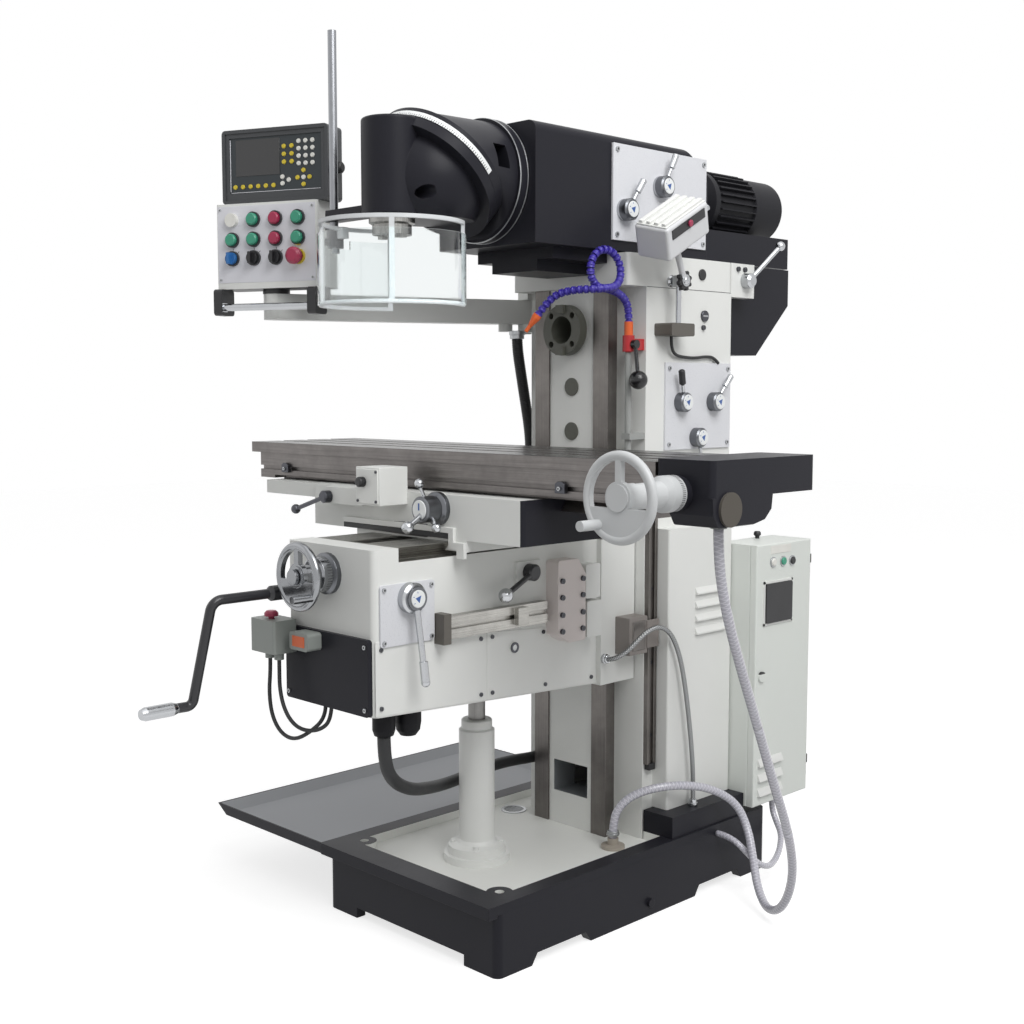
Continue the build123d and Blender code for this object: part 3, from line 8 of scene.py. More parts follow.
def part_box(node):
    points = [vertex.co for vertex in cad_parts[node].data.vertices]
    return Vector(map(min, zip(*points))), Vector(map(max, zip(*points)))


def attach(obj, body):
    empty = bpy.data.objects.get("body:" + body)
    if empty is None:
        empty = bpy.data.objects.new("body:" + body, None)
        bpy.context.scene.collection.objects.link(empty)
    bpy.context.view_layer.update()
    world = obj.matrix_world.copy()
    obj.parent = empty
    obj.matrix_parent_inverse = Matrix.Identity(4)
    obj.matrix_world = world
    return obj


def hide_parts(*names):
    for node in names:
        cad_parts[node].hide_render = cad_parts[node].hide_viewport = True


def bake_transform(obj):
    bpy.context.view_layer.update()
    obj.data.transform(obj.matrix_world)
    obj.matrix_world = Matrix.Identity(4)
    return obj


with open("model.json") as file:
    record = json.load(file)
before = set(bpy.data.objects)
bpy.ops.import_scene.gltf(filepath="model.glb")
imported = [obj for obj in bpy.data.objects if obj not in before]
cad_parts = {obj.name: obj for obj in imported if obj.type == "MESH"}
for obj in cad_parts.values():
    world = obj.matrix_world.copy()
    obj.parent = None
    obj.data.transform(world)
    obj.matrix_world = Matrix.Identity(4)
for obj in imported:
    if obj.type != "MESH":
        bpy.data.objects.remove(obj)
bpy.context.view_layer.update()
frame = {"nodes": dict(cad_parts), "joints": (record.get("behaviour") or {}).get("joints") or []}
joints = {joint["name"]: joint for joint in frame["joints"]}

# Places of the main pieces, in metres, as the solids have them
COLUMN_SIDE = 0.200
GEAR_PLATE = ((0.182, 1.150), (0.456, 1.373))
GEAR_FACE = 0.206
SPEED_PLATE = ((0.015, 1.670), (0.386, 1.903))
SPEED_FACE = 0.171
FEED_PLATE = ((-0.716, 0.754), (-0.562, 0.889))
FEED_FACE = 0.160
PAN_FLOOR = 0.148
RIM_TOP = 0.170
WAY_FRONT = 0.050
WAYS_TOP = 1.560
SADDLE_FRONT = -0.497
TABLE_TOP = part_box("table")[1].z
TABLE_SKIRT = -0.447
DOOR_FACE = 0.3285
CABINET_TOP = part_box("cabinet_box")[1].z
FLANGE_FRONT = -0.2805
FLANGE_R = 0.145
NOD_R = 0.165
STATION = Vector(joints["panel_swivel"]["pos_m"])
STATION_YAW = radians(23.2)
PANEL_FACE = -0.045
READOUT_FACE = -0.033
SELECTORS = ((-0.096, 1.632), (-0.034, 1.632), (0.030, 1.632))
LAMP_CENTRE = (0.2905, 0.097, 1.693)
FEED_HUB = (0.104, -0.5155, 1.038)
STATION_TURN = Matrix.Translation((STATION.x, STATION.y, 0)) @ Matrix.Rotation(STATION_YAW, 4, "Z")
LAMP_TURN = (Matrix.Translation(LAMP_CENTRE) @ Matrix.Rotation(radians(28), 4, "X")
             @ Matrix.Rotation(radians(14), 4, "Y"))

# A reach past the whole machine, and the ways that its faces look
FAR = 9.0
RIGHT = (1, 0, 0)
FRONT = (0, -1, 0)
UP = (0, 0, 1)

# Light that the floor gives off to the camera, and light of the surroundings on the machine
FLOOR_GLOW = 0.72
ROOM_LIGHT = 0.42


# Colour and nodes

def linear(colour):
    """Linear RGBA of an sRGB hex colour."""
    parts = [int(colour[i:i + 2], 16) / 255 for i in (1, 3, 5)]
    return [c / 12.92 if c <= 0.04045 else ((c + 0.055) / 1.055) ** 2.4 for c in parts] + [1.0]


def darker(colour, share):
    """Linear RGBA of an sRGB hex colour with a share of its light."""
    return [c * share for c in linear(colour)[:3]] + [1.0]


def add(tree, kind, inputs=None, **settings):
    """Adds a node with its settings, and fills or links its inputs."""
    made = tree.nodes.new(kind)
    for key, value in settings.items():
        setattr(made, key, value)
    for key, value in (inputs or {}).items():
        if isinstance(value, bpy.types.NodeSocket):
            tree.links.new(value, made.inputs[key])
        else:
            made.inputs[key].default_value = value
    return made


def empty_material(name):
    """New material with a bare tree."""
    made = bpy.data.materials.new(name)
    made.use_nodes = True
    made.node_tree.nodes.clear()
    return made, made.node_tree


# Finishes: each gives colour, roughness, metal and relief at a place on the surface

def surface(colour, rough, metal, relief):
    """What a finish gives, by name."""
    return {"colour": colour, "rough": rough, "metal": metal, "relief": relief}


def enamel(colour, gloss=0.36, tone=0.05):
    """Sprayed machine enamel: even satin colour, orange peel of about 3 mm, handling tone over 120 mm."""
    def finish(tree, place):
        cloud = add(tree, "ShaderNodeTexNoise",
                    {"Vector": place, "Scale": 1 / 0.12, "Detail": 4.0, "Roughness": 0.6})
        peel = add(tree, "ShaderNodeTexNoise", {"Vector": place, "Scale": 1 / 0.003, "Detail": 1.0})
        shade = add(tree, "ShaderNodeMix",
                    {0: cloud.outputs["Fac"], 6: darker(colour, 1 - tone), 7: linear(colour)},
                    data_type="RGBA")
        rough = add(tree, "ShaderNodeMapRange",
                    {"Value": cloud.outputs["Fac"], "To Min": gloss - 0.05, "To Max": gloss + 0.07})
        return surface(shade.outputs[2], rough.outputs[0], 0.0, peel.outputs["Fac"])
    return finish


def ground(colour, along, rough=(0.2, 0.4), pitch=0.0012):
    """Ground steel: bright, with grinding lines along one axis, drawn about a millimetre apart to show."""
    def finish(tree, place):
        stretch = [1 / pitch] * 3
        stretch[along] = 1 / 0.15
        lines = add(tree, "ShaderNodeMapping", {"Vector": place, "Scale": stretch})
        grain = add(tree, "ShaderNodeTexNoise", {"Vector": lines.outputs[0], "Scale": 1.0, "Detail": 3.0})
        stain = add(tree, "ShaderNodeTexNoise",
                    {"Vector": place, "Scale": 1 / 0.09, "Detail": 5.0, "Roughness": 0.7})
        both = add(tree, "ShaderNodeMath", {0: grain.outputs["Fac"], 1: stain.outputs["Fac"]},
                   operation="MULTIPLY")
        span = add(tree, "ShaderNodeMapRange", {"Value": both.outputs[0], "From Min": 0.12, "From Max": 0.4})
        shade = add(tree, "ShaderNodeMix",
                    {0: span.outputs[0], 6: darker(colour, 0.62), 7: linear(colour)}, data_type="RGBA")
        dull = add(tree, "ShaderNodeMapRange",
                   {"Value": grain.outputs["Fac"], "From Min": 0.3, "From Max": 0.7,
                    "To Min": rough[0], "To Max": rough[1]})
        return surface(shade.outputs[2], dull.outputs[0], 1.0, grain.outputs["Fac"])
    return finish


def bright(colour, rough=0.12):
    """Polished or plated metal: clear reflections broken by faint smears about 30 mm wide."""
    def finish(tree, place):
        smear = add(tree, "ShaderNodeTexNoise",
                    {"Vector": place, "Scale": 1 / 0.03, "Detail": 4.0, "Roughness": 0.65})
        dull = add(tree, "ShaderNodeMapRange",
                   {"Value": smear.outputs["Fac"], "From Min": 0.35, "From Max": 0.75,
                    "To Min": rough, "To Max": rough + 0.14})
        shade = add(tree, "ShaderNodeMix",
                    {0: smear.outputs["Fac"], 6: darker(colour, 0.86), 7: linear(colour)}, data_type="RGBA")
        return surface(shade.outputs[2], dull.outputs[0], 1.0, smear.outputs["Fac"])
    return finish


def moulded(colour, rough=0.42, grain=0.0012):
    """Moulded plastic: even colour with a leathery grain of about a millimetre from the mould."""
    def finish(tree, place):
        hide = add(tree, "ShaderNodeTexVoronoi", {"Vector": place, "Scale": 1 / grain})
        cloud = add(tree, "ShaderNodeTexNoise", {"Vector": place, "Scale": 1 / 0.05, "Detail": 3.0})
        shade = add(tree, "ShaderNodeMix",
                    {0: cloud.outputs["Fac"], 6: darker(colour, 0.88), 7: linear(colour)}, data_type="RGBA")
        dull = add(tree, "ShaderNodeMapRange",
                   {"Value": cloud.outputs["Fac"], "To Min": rough - 0.06, "To Max": rough + 0.08})
        return surface(shade.outputs[2], dull.outputs[0], 0.0, hide.outputs["Distance"])
    return finish


def speckled(colour, fleck):
    """Stove-enamelled plate: pale ground with fine darker flecks about 4 mm apart."""
    def finish(tree, place):
        flecks = add(tree, "ShaderNodeTexVoronoi", {"Vector": place, "Scale": 1 / 0.004})
        spot = add(tree, "ShaderNodeMapRange",
                   {"Value": flecks.outputs["Distance"], "From Min": 0.12, "From Max": 0.24,
                    "To Min": 0.4, "To Max": 0.0})
        shade = add(tree, "ShaderNodeMix",
                    {0: spot.outputs[0], 6: linear(colour), 7: linear(fleck)}, data_type="RGBA")
        return surface(shade.outputs[2], 0.34, 0.0, flecks.outputs["Distance"])
    return finish


# Zones: masks that put another finish on part of a piece

def inside(low, high, origin=None, yaw=0.0):
    """Mask of a box between two corners, in a frame of its own where an origin is given."""
    def mask(tree, place):
        if origin is not None:
            turned = add(tree, "ShaderNodeMapping",
                         {"Vector": place, "Location": origin, "Rotation": (0, 0, yaw)},
                         vector_type="TEXTURE")
            place = turned.outputs[0]
        axes = add(tree, "ShaderNodeSeparateXYZ", {"Vector": place})
        share = None
        for axis in range(3):
            if low[axis] == -FAR and high[axis] == FAR:
                continue
            middle = (low[axis] + high[axis]) / 2
            half = (high[axis] - low[axis]) / 2
            near = add(tree, "ShaderNodeMath", {0: axes.outputs[axis], 1: middle, 2: half},
                       operation="COMPARE")
            if share is None:
                share = near.outputs[0]
            else:
                share = add(tree, "ShaderNodeMath", {0: share, 1: near.outputs[0]},
                            operation="MULTIPLY").outputs[0]
        return share
    return mask


def on_station(low, high):
    """Mask of a box in the control station's own turned frame."""
    return inside(low, high, (STATION.x, STATION.y, 0), STATION_YAW)


def beyond(centre, radius):
    """Mask of what lies farther from a point than a radius."""
    def mask(tree, place):
        gap = add(tree, "ShaderNodeVectorMath", {0: place, 1: centre}, operation="DISTANCE")
        return add(tree, "ShaderNodeMath", {0: gap.outputs["Value"], 1: radius},
                   operation="GREATER_THAN").outputs[0]
    return mask


def material(name, finish, *zones, edge=0.0016, depth=0.00012, **fixed):
    """Material of one finish with others inside their zones, on edges that look rounded to a radius."""
    made, tree = empty_material(name)
    place = add(tree, "ShaderNodeTexCoord").outputs["Object"]
    look = finish(tree, place)
    for zone, other in zones:
        share = zone(tree, place)
        over = other(tree, place)
        colour = add(tree, "ShaderNodeMix", {0: share, 6: look["colour"], 7: over["colour"]},
                     data_type="RGBA")
        look["colour"] = colour.outputs[2]
        for key in ("rough", "metal", "relief"):
            if isinstance(look[key], float) and look[key] == over[key]:
                continue
            both = add(tree, "ShaderNodeMix", {0: share, 2: look[key], 3: over[key]})
            look[key] = both.outputs[0]
    corner = add(tree, "ShaderNodeBevel", {"Radius": edge}, samples=4)
    bump = add(tree, "ShaderNodeBump",
               {"Height": look["relief"], "Distance": depth, "Normal": corner.outputs[0]})
    shader = add(tree, "ShaderNodeBsdfPrincipled",
                 {"Base Color": look["colour"], "Roughness": look["rough"], "Metallic": look["metal"],
                  "Normal": bump.outputs[0], **fixed})
    add(tree, "ShaderNodeOutputMaterial", {"Surface": shader.outputs[0]})
    return made


def glass(name, colour, rough=0.03, ior=1.49):
    """Clear acrylic sheet: nearly colourless, with faint wipe marks about 50 mm wide in its gloss."""
    made, tree = empty_material(name)
    place = add(tree, "ShaderNodeTexCoord").outputs["Object"]
    wipe = add(tree, "ShaderNodeTexNoise", {"Vector": place, "Scale": 1 / 0.05, "Detail": 4.0})
    dull = add(tree, "ShaderNodeMapRange",
               {"Value": wipe.outputs["Fac"], "From Min": 0.4, "From Max": 0.8,
                "To Min": rough, "To Max": rough + 0.06})
    shader = add(tree, "ShaderNodeBsdfPrincipled",
                 {"Base Color": linear(colour), "Roughness": dull.outputs[0], "IOR": ior,
                  "Transmission Weight": 1.0})
    clear = add(tree, "ShaderNodeBsdfTransparent", {"Color": linear(colour)})
    path = add(tree, "ShaderNodeLightPath")
    through = add(tree, "ShaderNodeMixShader",
                  {0: path.outputs["Is Shadow Ray"], 1: shader.outputs[0], 2: clear.outputs[0]})
    add(tree, "ShaderNodeOutputMaterial", {"Surface": through.outputs[0]})
    return made


# Objects, and shapes in mesh code

def put(name, data):
    """New object in the scene."""
    made = bpy.data.objects.new(name, data)
    bpy.context.scene.collection.objects.link(made)
    return made


def as_mesh(name, bm, *skins):
    """Smooth mesh with outward faces and its materials."""
    bmesh.ops.recalc_face_normals(bm, faces=bm.faces)
    mesh = bpy.data.meshes.new(name)
    bm.to_mesh(mesh)
    bm.free()
    for finish in skins:
        mesh.materials.append(finish)
    mesh.shade_smooth()
    return mesh


def skin(faces, index):
    """Gives faces a material by its number."""
    for face in faces:
        face.material_index = index


def slab(bm, low, high, index=0):
    """Block between two corners."""
    size = Vector(high) - Vector(low)
    place = Matrix.Translation((Vector(low) + Vector(high)) / 2) @ Matrix.Diagonal((*size, 1))
    made = bmesh.ops.create_cube(bm, size=1, matrix=place)
    skin({face for vertex in made["verts"] for face in vertex.link_faces}, index)


def prism(bm, outline, axis, low, high, index=0):
    """Outline in the plane across an axis, between two places on that axis."""
    ends = []
    for reach in (low, high):
        ends.append([bm.verts.new((*point[:axis], reach, *point[axis:])) for point in outline])
    made = [bm.faces.new(end) for end in ends]
    for k in range(len(outline)):
        n = (k + 1) % len(outline)
        made.append(bm.faces.new((ends[0][k], ends[0][n], ends[1][n], ends[1][k])))
    skin(made, index)


def lathe(bm, profile, centre, axis, index=0, sides=40):
    """Profile of (radius, height) pairs spun about an axis through a centre; ends on the axis are closed."""
    turn = Vector(UP).rotation_difference(Vector(axis)).to_matrix()
    rings = []
    for radius, height in profile:
        count = sides if radius > 1e-6 else 1
        ring = []
        for k in range(count):
            a = 2 * pi * k / sides
            spot = Vector((radius * cos(a), radius * sin(a), height))
            ring.append(bm.verts.new(Vector(centre) + turn @ spot))
        rings.append(ring)
    for first, second in zip(rings, rings[1:]):
        for k in range(sides):
            corners = [first[k % len(first)], first[(k + 1) % len(first)],
                       second[(k + 1) % len(second)], second[k % len(second)]]
            face = bm.faces.new(list(dict.fromkeys(corners)))
            face.material_index = index


def stud(bm, radius, height, centre, axis, index=0, soft=0.001, sides=28):
    """Round stud with a chamfered end that stands on a face."""
    lathe(bm, [(0, height), (radius - soft, height), (radius, height - soft), (radius, 0), (0, 0)],
          centre, axis, index, sides)


def ring(bm, inner, outer, low, high, centre, axis, index=0, soft=0.0004, sides=64):
    """Flat ring about an axis with chamfered outer edges."""
    lathe(bm, [(inner, low), (outer - soft, low), (outer, low + soft), (outer, high - soft),
               (outer - soft, high), (inner, high), (inner, low)], centre, axis, index, sides)


def ball_arm(bm, start, end, thick, ball, index=0):
    """Round arm that narrows to its neck and ends in a ball."""
    run = Vector(end) - Vector(start)
    neck = run.length - sqrt(ball ** 2 - (0.7 * thick) ** 2)
    profile = [(0, 0), (thick, 0), (0.7 * thick, neck)]
    for k in range(1, 8):
        a = radians(-70 + 20 * k)
        profile.append((ball * cos(a), run.length + ball * sin(a)))
    lathe(bm, profile + [(0, run.length + ball)], start, run, index, 24)


def arc_band(bm, centre, axis, radius, low, high, start, end, thick, index=0, steps=60):
    """Thin band on a round rim between two angles, measured from +X, and two places along its axis."""
    side = Vector(RIGHT)
    up = axis.cross(side)
    rows = []
    for k in range(steps + 1):
        a = radians(start + (end - start) * k / steps)
        out = side * cos(a) + up * sin(a)
        row = []
        for reach, size in ((low, radius), (high, radius), (high, radius + thick), (low, radius + thick)):
            row.append(bm.verts.new(centre + axis * reach + out * size))
        rows.append(row)
    made = [bm.faces.new(rows[0]), bm.faces.new(rows[-1])]
    for first, second in zip(rows, rows[1:]):
        for k in range(4):
            n = (k + 1) % 4
            made.append(bm.faces.new((first[k], first[n], second[n], second[k])))
    skin(made, index)


def piece(name, bm, skins, body, bevel=0.0, angle=40, turn=None):
    """Finishes a mesh: place, outward faces, soft edges, materials and the body that it rides on."""
    if turn is not None:
        bmesh.ops.transform(bm, matrix=turn, verts=bm.verts)
    bmesh.ops.remove_doubles(bm, verts=bm.verts, dist=1e-6)
    mesh = as_mesh(name, bm, *skins)
    mesh.set_sharp_from_angle(angle=radians(angle))
    made = put(name, mesh)
    if bevel:
        soft = made.modifiers.new("edges", "BEVEL")
        soft.width = bevel
        soft.segments = 2
        soft.limit_method = "ANGLE"
        soft.angle_limit = radians(angle)
    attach(made, body)
    return made


# Trees that repeat a small form at given points

def point_tree(name, sizes, *shares):
    """Geometry tree with a geometry input, named sizes, an output and shares of the sizes."""
    tree = bpy.data.node_groups.new(name, "GeometryNodeTree")
    tree.interface.new_socket("Geometry", in_out="INPUT", socket_type="NodeSocketGeometry")
    for size, value in sizes.items():
        tree.interface.new_socket(size, in_out="INPUT", socket_type="NodeSocketFloat").default_value = value
    tree.interface.new_socket("Geometry", in_out="OUTPUT", socket_type="NodeSocketGeometry")
    given = add(tree, "NodeGroupInput")
    parts = []
    for size, share in shares:
        part = add(tree, "ShaderNodeMath", {0: given.outputs[size], 1: share}, operation="MULTIPLY")
        parts.append(part.outputs[0])
    return tree, given, *parts


def repeat(tree, given, form, *skins):
    """Ends a tree: the form at each point, turned as its attribute says, realised and painted."""
    turn = add(tree, "GeometryNodeInputNamedAttribute", {"Name": "turn"}, data_type="FLOAT_VECTOR")
    spin = add(tree, "FunctionNodeEulerToRotation", {0: turn.outputs["Attribute"]})
    placed = add(tree, "GeometryNodeInstanceOnPoints",
                 {"Points": given.outputs["Geometry"], "Instance": form, "Rotation": spin.outputs[0]})
    shown = add(tree, "GeometryNodeRealizeInstances", {"Geometry": placed.outputs[0]}).outputs[0]
    shown = add(tree, "GeometryNodeSetMaterial", {"Geometry": shown, "Material": skins[0]}).outputs[0]
    if len(skins) > 1:
        marked = add(tree, "GeometryNodeInputNamedAttribute", {"Name": "recess"}, data_type="BOOLEAN")
        chosen = {"Geometry": shown, "Selection": marked.outputs["Attribute"], "Material": skins[1]}
        shown = add(tree, "GeometryNodeSetMaterial", chosen).outputs[0]
    add(tree, "NodeGroupOutput", {"Geometry": shown})
    return tree


def screw_tree(name, head, recess):
    """Socket-head screws: a round head with a dark hexagon in it."""
    tree, given, wide, narrow, proud, middle = point_tree(
        name, {"Diameter": 0.012, "Height": 0.005},
        ("Diameter", 0.5), ("Diameter", 0.27), ("Height", 1.06), ("Height", 0.53))
    disc = add(tree, "GeometryNodeMeshCone",
               {"Vertices": 20, "Radius Bottom": wide, "Radius Top": wide, "Depth": given.outputs["Height"]})
    hexagon = add(tree, "GeometryNodeMeshCylinder", {"Vertices": 6, "Radius": narrow, "Depth": proud})
    rise = add(tree, "ShaderNodeCombineXYZ", {"Z": middle})
    raised = add(tree, "GeometryNodeTransform",
                 {"Geometry": hexagon.outputs[0], "Translation": rise.outputs[0]})
    marked = add(tree, "GeometryNodeStoreNamedAttribute",
                 {"Geometry": raised.outputs[0], "Name": "recess", "Value": True},
                 data_type="BOOLEAN", domain="FACE")
    both = add(tree, "GeometryNodeJoinGeometry", {"Geometry": disc.outputs[0]})
    tree.links.new(marked.outputs[0], both.inputs[0])
    return repeat(tree, given, both.outputs[0], head, recess)


def tick_tree(name, paint):
    """Graduation marks: thin raised bars."""
    tree, given = point_tree(name, {"Width": 0.0012, "Length": 0.008, "Thick": 0.0006})
    size = add(tree, "ShaderNodeCombineXYZ",
               {"X": given.outputs["Width"], "Y": given.outputs["Length"], "Z": given.outputs["Thick"]})
    bar = add(tree, "GeometryNodeMeshCube", {"Size": size.outputs[0]})
    return repeat(tree, given, bar.outputs[0], paint)


def key_tree(name, paint):
    """Round membrane keys with a sloped rim."""
    tree, given, foot, top = point_tree(
        name, {"Diameter": 0.012, "Height": 0.003}, ("Diameter", 0.5), ("Diameter", 0.42))
    cap = add(tree, "GeometryNodeMeshCone",
              {"Vertices": 14, "Radius Bottom": foot, "Radius Top": top, "Depth": given.outputs["Height"]})
    return repeat(tree, given, cap.outputs[0], paint)


def segment_tree(name, paint):
    """Ball-and-socket hose: a ball and its skirt at every pitch along a curve."""
    tree, given, ball, neck, back = point_tree(
        name, {"Pitch": 0.015, "Ball": 0.020, "Neck": 0.013}, ("Ball", 0.5), ("Neck", 0.5), ("Pitch", -0.5))
    spots = add(tree, "GeometryNodeCurveToPoints",
                {"Curve": given.outputs["Geometry"], "Length": given.outputs["Pitch"]}, mode="LENGTH")
    round_end = add(tree, "GeometryNodeMeshUVSphere", {"Segments": 20, "Rings": 12, "Radius": ball})
    flat = add(tree, "GeometryNodeTransform", {"Geometry": round_end.outputs[0], "Scale": (1, 1, 0.62)})
    skirt = add(tree, "GeometryNodeMeshCone",
                {"Vertices": 20, "Radius Top": neck, "Radius Bottom": ball, "Depth": given.outputs["Pitch"]})
    shift = add(tree, "ShaderNodeCombineXYZ", {"Z": back})
    centred = add(tree, "GeometryNodeTransform",
                  {"Geometry": skirt.outputs[0], "Translation": shift.outputs[0]})
    both = add(tree, "GeometryNodeJoinGeometry", {"Geometry": flat.outputs[0]})
    tree.links.new(centred.outputs[0], both.inputs[0])
    placed = add(tree, "GeometryNodeInstanceOnPoints",
                 {"Points": spots.outputs["Points"], "Instance": both.outputs[0],
                  "Rotation": spots.outputs["Rotation"]})
    shown = add(tree, "GeometryNodeRealizeInstances", {"Geometry": placed.outputs[0]})
    done = add(tree, "GeometryNodeSetMaterial", {"Geometry": shown.outputs[0], "Material": paint})
    add(tree, "NodeGroupOutput", {"Geometry": done.outputs[0]})
    return tree


def settle(made, tree, sizes):
    """Runs a tree on an object and keeps what it makes as a plain mesh."""
    step = made.modifiers.new("form", "NODES")
    step.node_group = tree
    for item in tree.interface.items_tree:
        if item.in_out == "INPUT" and item.name in sizes:
            step[item.identifier] = sizes[item.name]
    ready = made.evaluated_get(bpy.context.evaluated_depsgraph_get())
    mesh = bpy.data.meshes.new_from_object(ready)
    made.modifiers.clear()
    return mesh


def at_points(name, tree, places, body, turn=None, **sizes):
    """Repeats a tree's form at (point, facing, along) places on a body."""
    spots = bpy.data.meshes.new(name)
    points = []
    turns = []
    for point, facing, along in places:
        z = Vector(facing).normalized()
        y = (Vector(along) - z * z.dot(Vector(along))).normalized()
        basis = Matrix((y.cross(z), y, z)).transposed().to_4x4()
        basis.translation = Vector(point)
        if turn is not None:
            basis = turn @ basis
        points.append(basis.translation)
        turns.extend(basis.to_euler())
    spots.from_pydata(points, [], [])
    spots.attributes.new("turn", "FLOAT_VECTOR", "POINT").data.foreach_set("vector", turns)
    made = put(name, spots)
    made.data = settle(made, tree, sizes)
    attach(made, body)
    return made


def on_side(face, spots):
    """Places at (y, z) spots on a face that looks along +X."""
    return [((face, y, z), RIGHT, UP) for y, z in spots]


def on_front(face, spots):
    """Places at (x, z) spots on a face that looks along -Y."""
    return [((x, face, z), FRONT, UP) for x, z in spots]


def corners(plate, inset):
    """The four corners of a plate, moved in by an inset."""
    (y0, z0), (y1, z1) = plate
    return [(y, z) for y in (y0 + inset, y1 - inset) for z in (z0 + inset, z1 - inset)]


# Cords

def spline(name, route, depth=0.0):
    """Smooth NURBS line with a route's points as its control points."""
    line = bpy.data.curves.new(name, "CURVE")
    line.dimensions = "3D"
    line.resolution_u = 12
    line.bevel_depth = depth
    line.bevel_resolution = 4
    run = line.splines.new("NURBS")
    run.points.add(len(route) - 1)
    for point, place in zip(run.points, route):
        point.co = (*place, 1)
    run.order_u = 3
    run.use_endpoint_u = True
    return put(name, line)


def line_points(name, route):
    """Points along a route's smooth line."""
    line = spline(name + "_line", route)
    mesh = bpy.data.meshes.new_from_object(line.evaluated_get(bpy.context.evaluated_depsgraph_get()))
    points = [vertex.co.copy() for vertex in mesh.vertices]
    bpy.data.objects.remove(line)
    return points


def even(points, step):
    """Points at an even step along a smooth line's own points."""
    spots = [points[0]]
    left = step
    for a, b in zip(points, points[1:]):
        gap = (b - a).length
        while gap >= left:
            a = a + (b - a) * (left / gap)
            spots.append(a)
            gap = (b - a).length
            left = step
        left -= gap
    return spots


def hose(name, points, radius, finish, sides=20, rib=None):
    """Tube along points with a map of turns and metres; ribs are (pitch, depth)."""
    bm = bmesh.new()
    uv = bm.loops.layers.uv.new("along")
    spots = [points[0]]
    for point in points[1:]:
        if (point - spots[-1]).length > 1e-5:
            spots.append(point)
    if rib:
        spots = even(spots, rib[0] / 4)
    side = Vector(RIGHT) if abs((spots[1] - spots[0]).normalized().x) < 0.9 else Vector((0, 1, 0))
    rings = []
    reach = 0.0
    for k, spot in enumerate(spots):
        ahead = (spots[min(k + 1, len(spots) - 1)] - spots[max(k - 1, 0)]).normalized()
        side = (side - ahead * side.dot(ahead)).normalized()
        up = ahead.cross(side)
        size = radius - (rib[1] if rib and k % 4 in (2, 3) else 0.0)
        row = []
        for s in range(sides):
            a = 2 * pi * s / sides
            row.append(bm.verts.new(spot + (side * cos(a) + up * sin(a)) * size))
        rings.append((row, reach))
        if k < len(spots) - 1:
            reach += (spots[k + 1] - spot).length
    for (first, low), (second, high) in zip(rings, rings[1:]):
        for s in range(sides):
            t = (s + 1) % sides
            face = bm.faces.new((first[s], first[t], second[t], second[s]))
            turns = (s / sides, (s + 1) / sides, (s + 1) / sides, s / sides)
            for loop, turn, length in zip(face.loops, turns, (low, low, high, high)):
                loop[uv].uv = (turn, length)
    for row, reach in (rings[0], rings[-1]):
        bm.faces.new(row)
    return put(name, as_mesh(name, bm, finish))


# Finishes of the machine

ANTHRACITE = enamel("#25252b", 0.36)
WHITE = enamel("#e7e8e5", 0.36)
SHEET = enamel("#dfe3de", 0.40)
PAN = enamel("#ebece8", 0.46)
TRAY = enamel("#b6b8bc", 0.5)
PLATE = speckled("#dcdde1", "#a7a9b3")
GREY = enamel("#9a9c9a", 0.38)
# Mid-grey painted shade for the recess of the column's window
PAINTED_SHADE = enamel("#7d8184", 0.5)
OLIVE = enamel("#55564e", 0.45)
DRAB = enamel("#5a5650", 0.45)
OFF_WHITE = enamel("#e3dad7", 0.5)
WAY = ground("#807c79", 2, (0.3, 0.5))
STEEL_X = ground("#62605f", 0)
STEEL_Y = ground("#bdbbb6", 1)
MILLED = ground("#7f7b79", 0, (0.32, 0.5), 0.003)
CHROME = bright("#bcbec1")
HUB = bright("#74767a", 0.28)
DARK_STEEL = bright("#55565b", 0.26)
BLACK = moulded("#1b1b1e")
BEZEL = moulded("#2b2c2f", 0.36)
ORANGE = moulded("#e0642a", 0.36)
YELLOW = moulded("#d9c23a", 0.4)
RED = moulded("#a8284e", 0.32)
VALVE_RED = moulded("#b8232a", 0.32)
IVORY = moulded("#e9e8e2", 0.36)
# Dark enamel has a low sheen, so that white surroundings don't grey it
SATIN = {"Specular IOR Level": 0.12}

chrome_steel = material("Chromed steel", CHROME, edge=0.0008)
dark_steel = material("Blackened steel", DARK_STEEL, edge=0.0008)
hub_steel = material("Dull plated steel", HUB, edge=0.0008)
tinned = material("Tinned steel", bright("#b4b6b8", 0.3), edge=0.0008)
way_steel = material("Dull ground steel", WAY, edge=0.0008)
white_iron = material("Off-white enamel", WHITE, edge=0.001)
dark_iron = material("Anthracite enamel", ANTHRACITE, edge=0.001, **SATIN)
brown_iron = material("Brown-grey enamel on cast iron", enamel("#8a8480", 0.5), edge=0.001)
black_plastic = material("Black moulded plastic", BLACK, edge=0.001)
white_plastic = material("White moulded plastic", IVORY, edge=0.001)
red_plastic = material("Red moulded plastic", RED, edge=0.001)
green_plastic = material("Green moulded plastic", moulded("#3a9a7c", 0.32), edge=0.001)
blue_plastic = material("Blue moulded plastic", moulded("#2f6fb0", 0.34), edge=0.001)
yellow_plastic = material("Yellow moulded plastic", YELLOW, edge=0.001)
orange_plastic = material("Orange moulded plastic", ORANGE, edge=0.001)
violet_plastic = material("Violet moulded plastic", moulded("#3a2c9c", 0.34), edge=0.001)
rubber = material("Black rubber", moulded("#191a1c", 0.55, 0.002), edge=0.001)
overlay = material("Printed panel sheet", enamel("#e1e1e7", 0.3), edge=0.0004)
display = material("Dark display glass", enamel("#3b3b3c", 0.16), edge=0.0006)
dial_white = material("White printed dial", enamel("#eceeee", 0.3), edge=0.0006)
dial_blue = material("Blue printed marks", enamel("#3a5fa0", 0.35), edge=0.0003)
ink = material("Black printed marks", enamel("#2a2b2e", 0.4), edge=0.0003)
acrylic = glass("Clear acrylic sheet", "#f3f7f7")

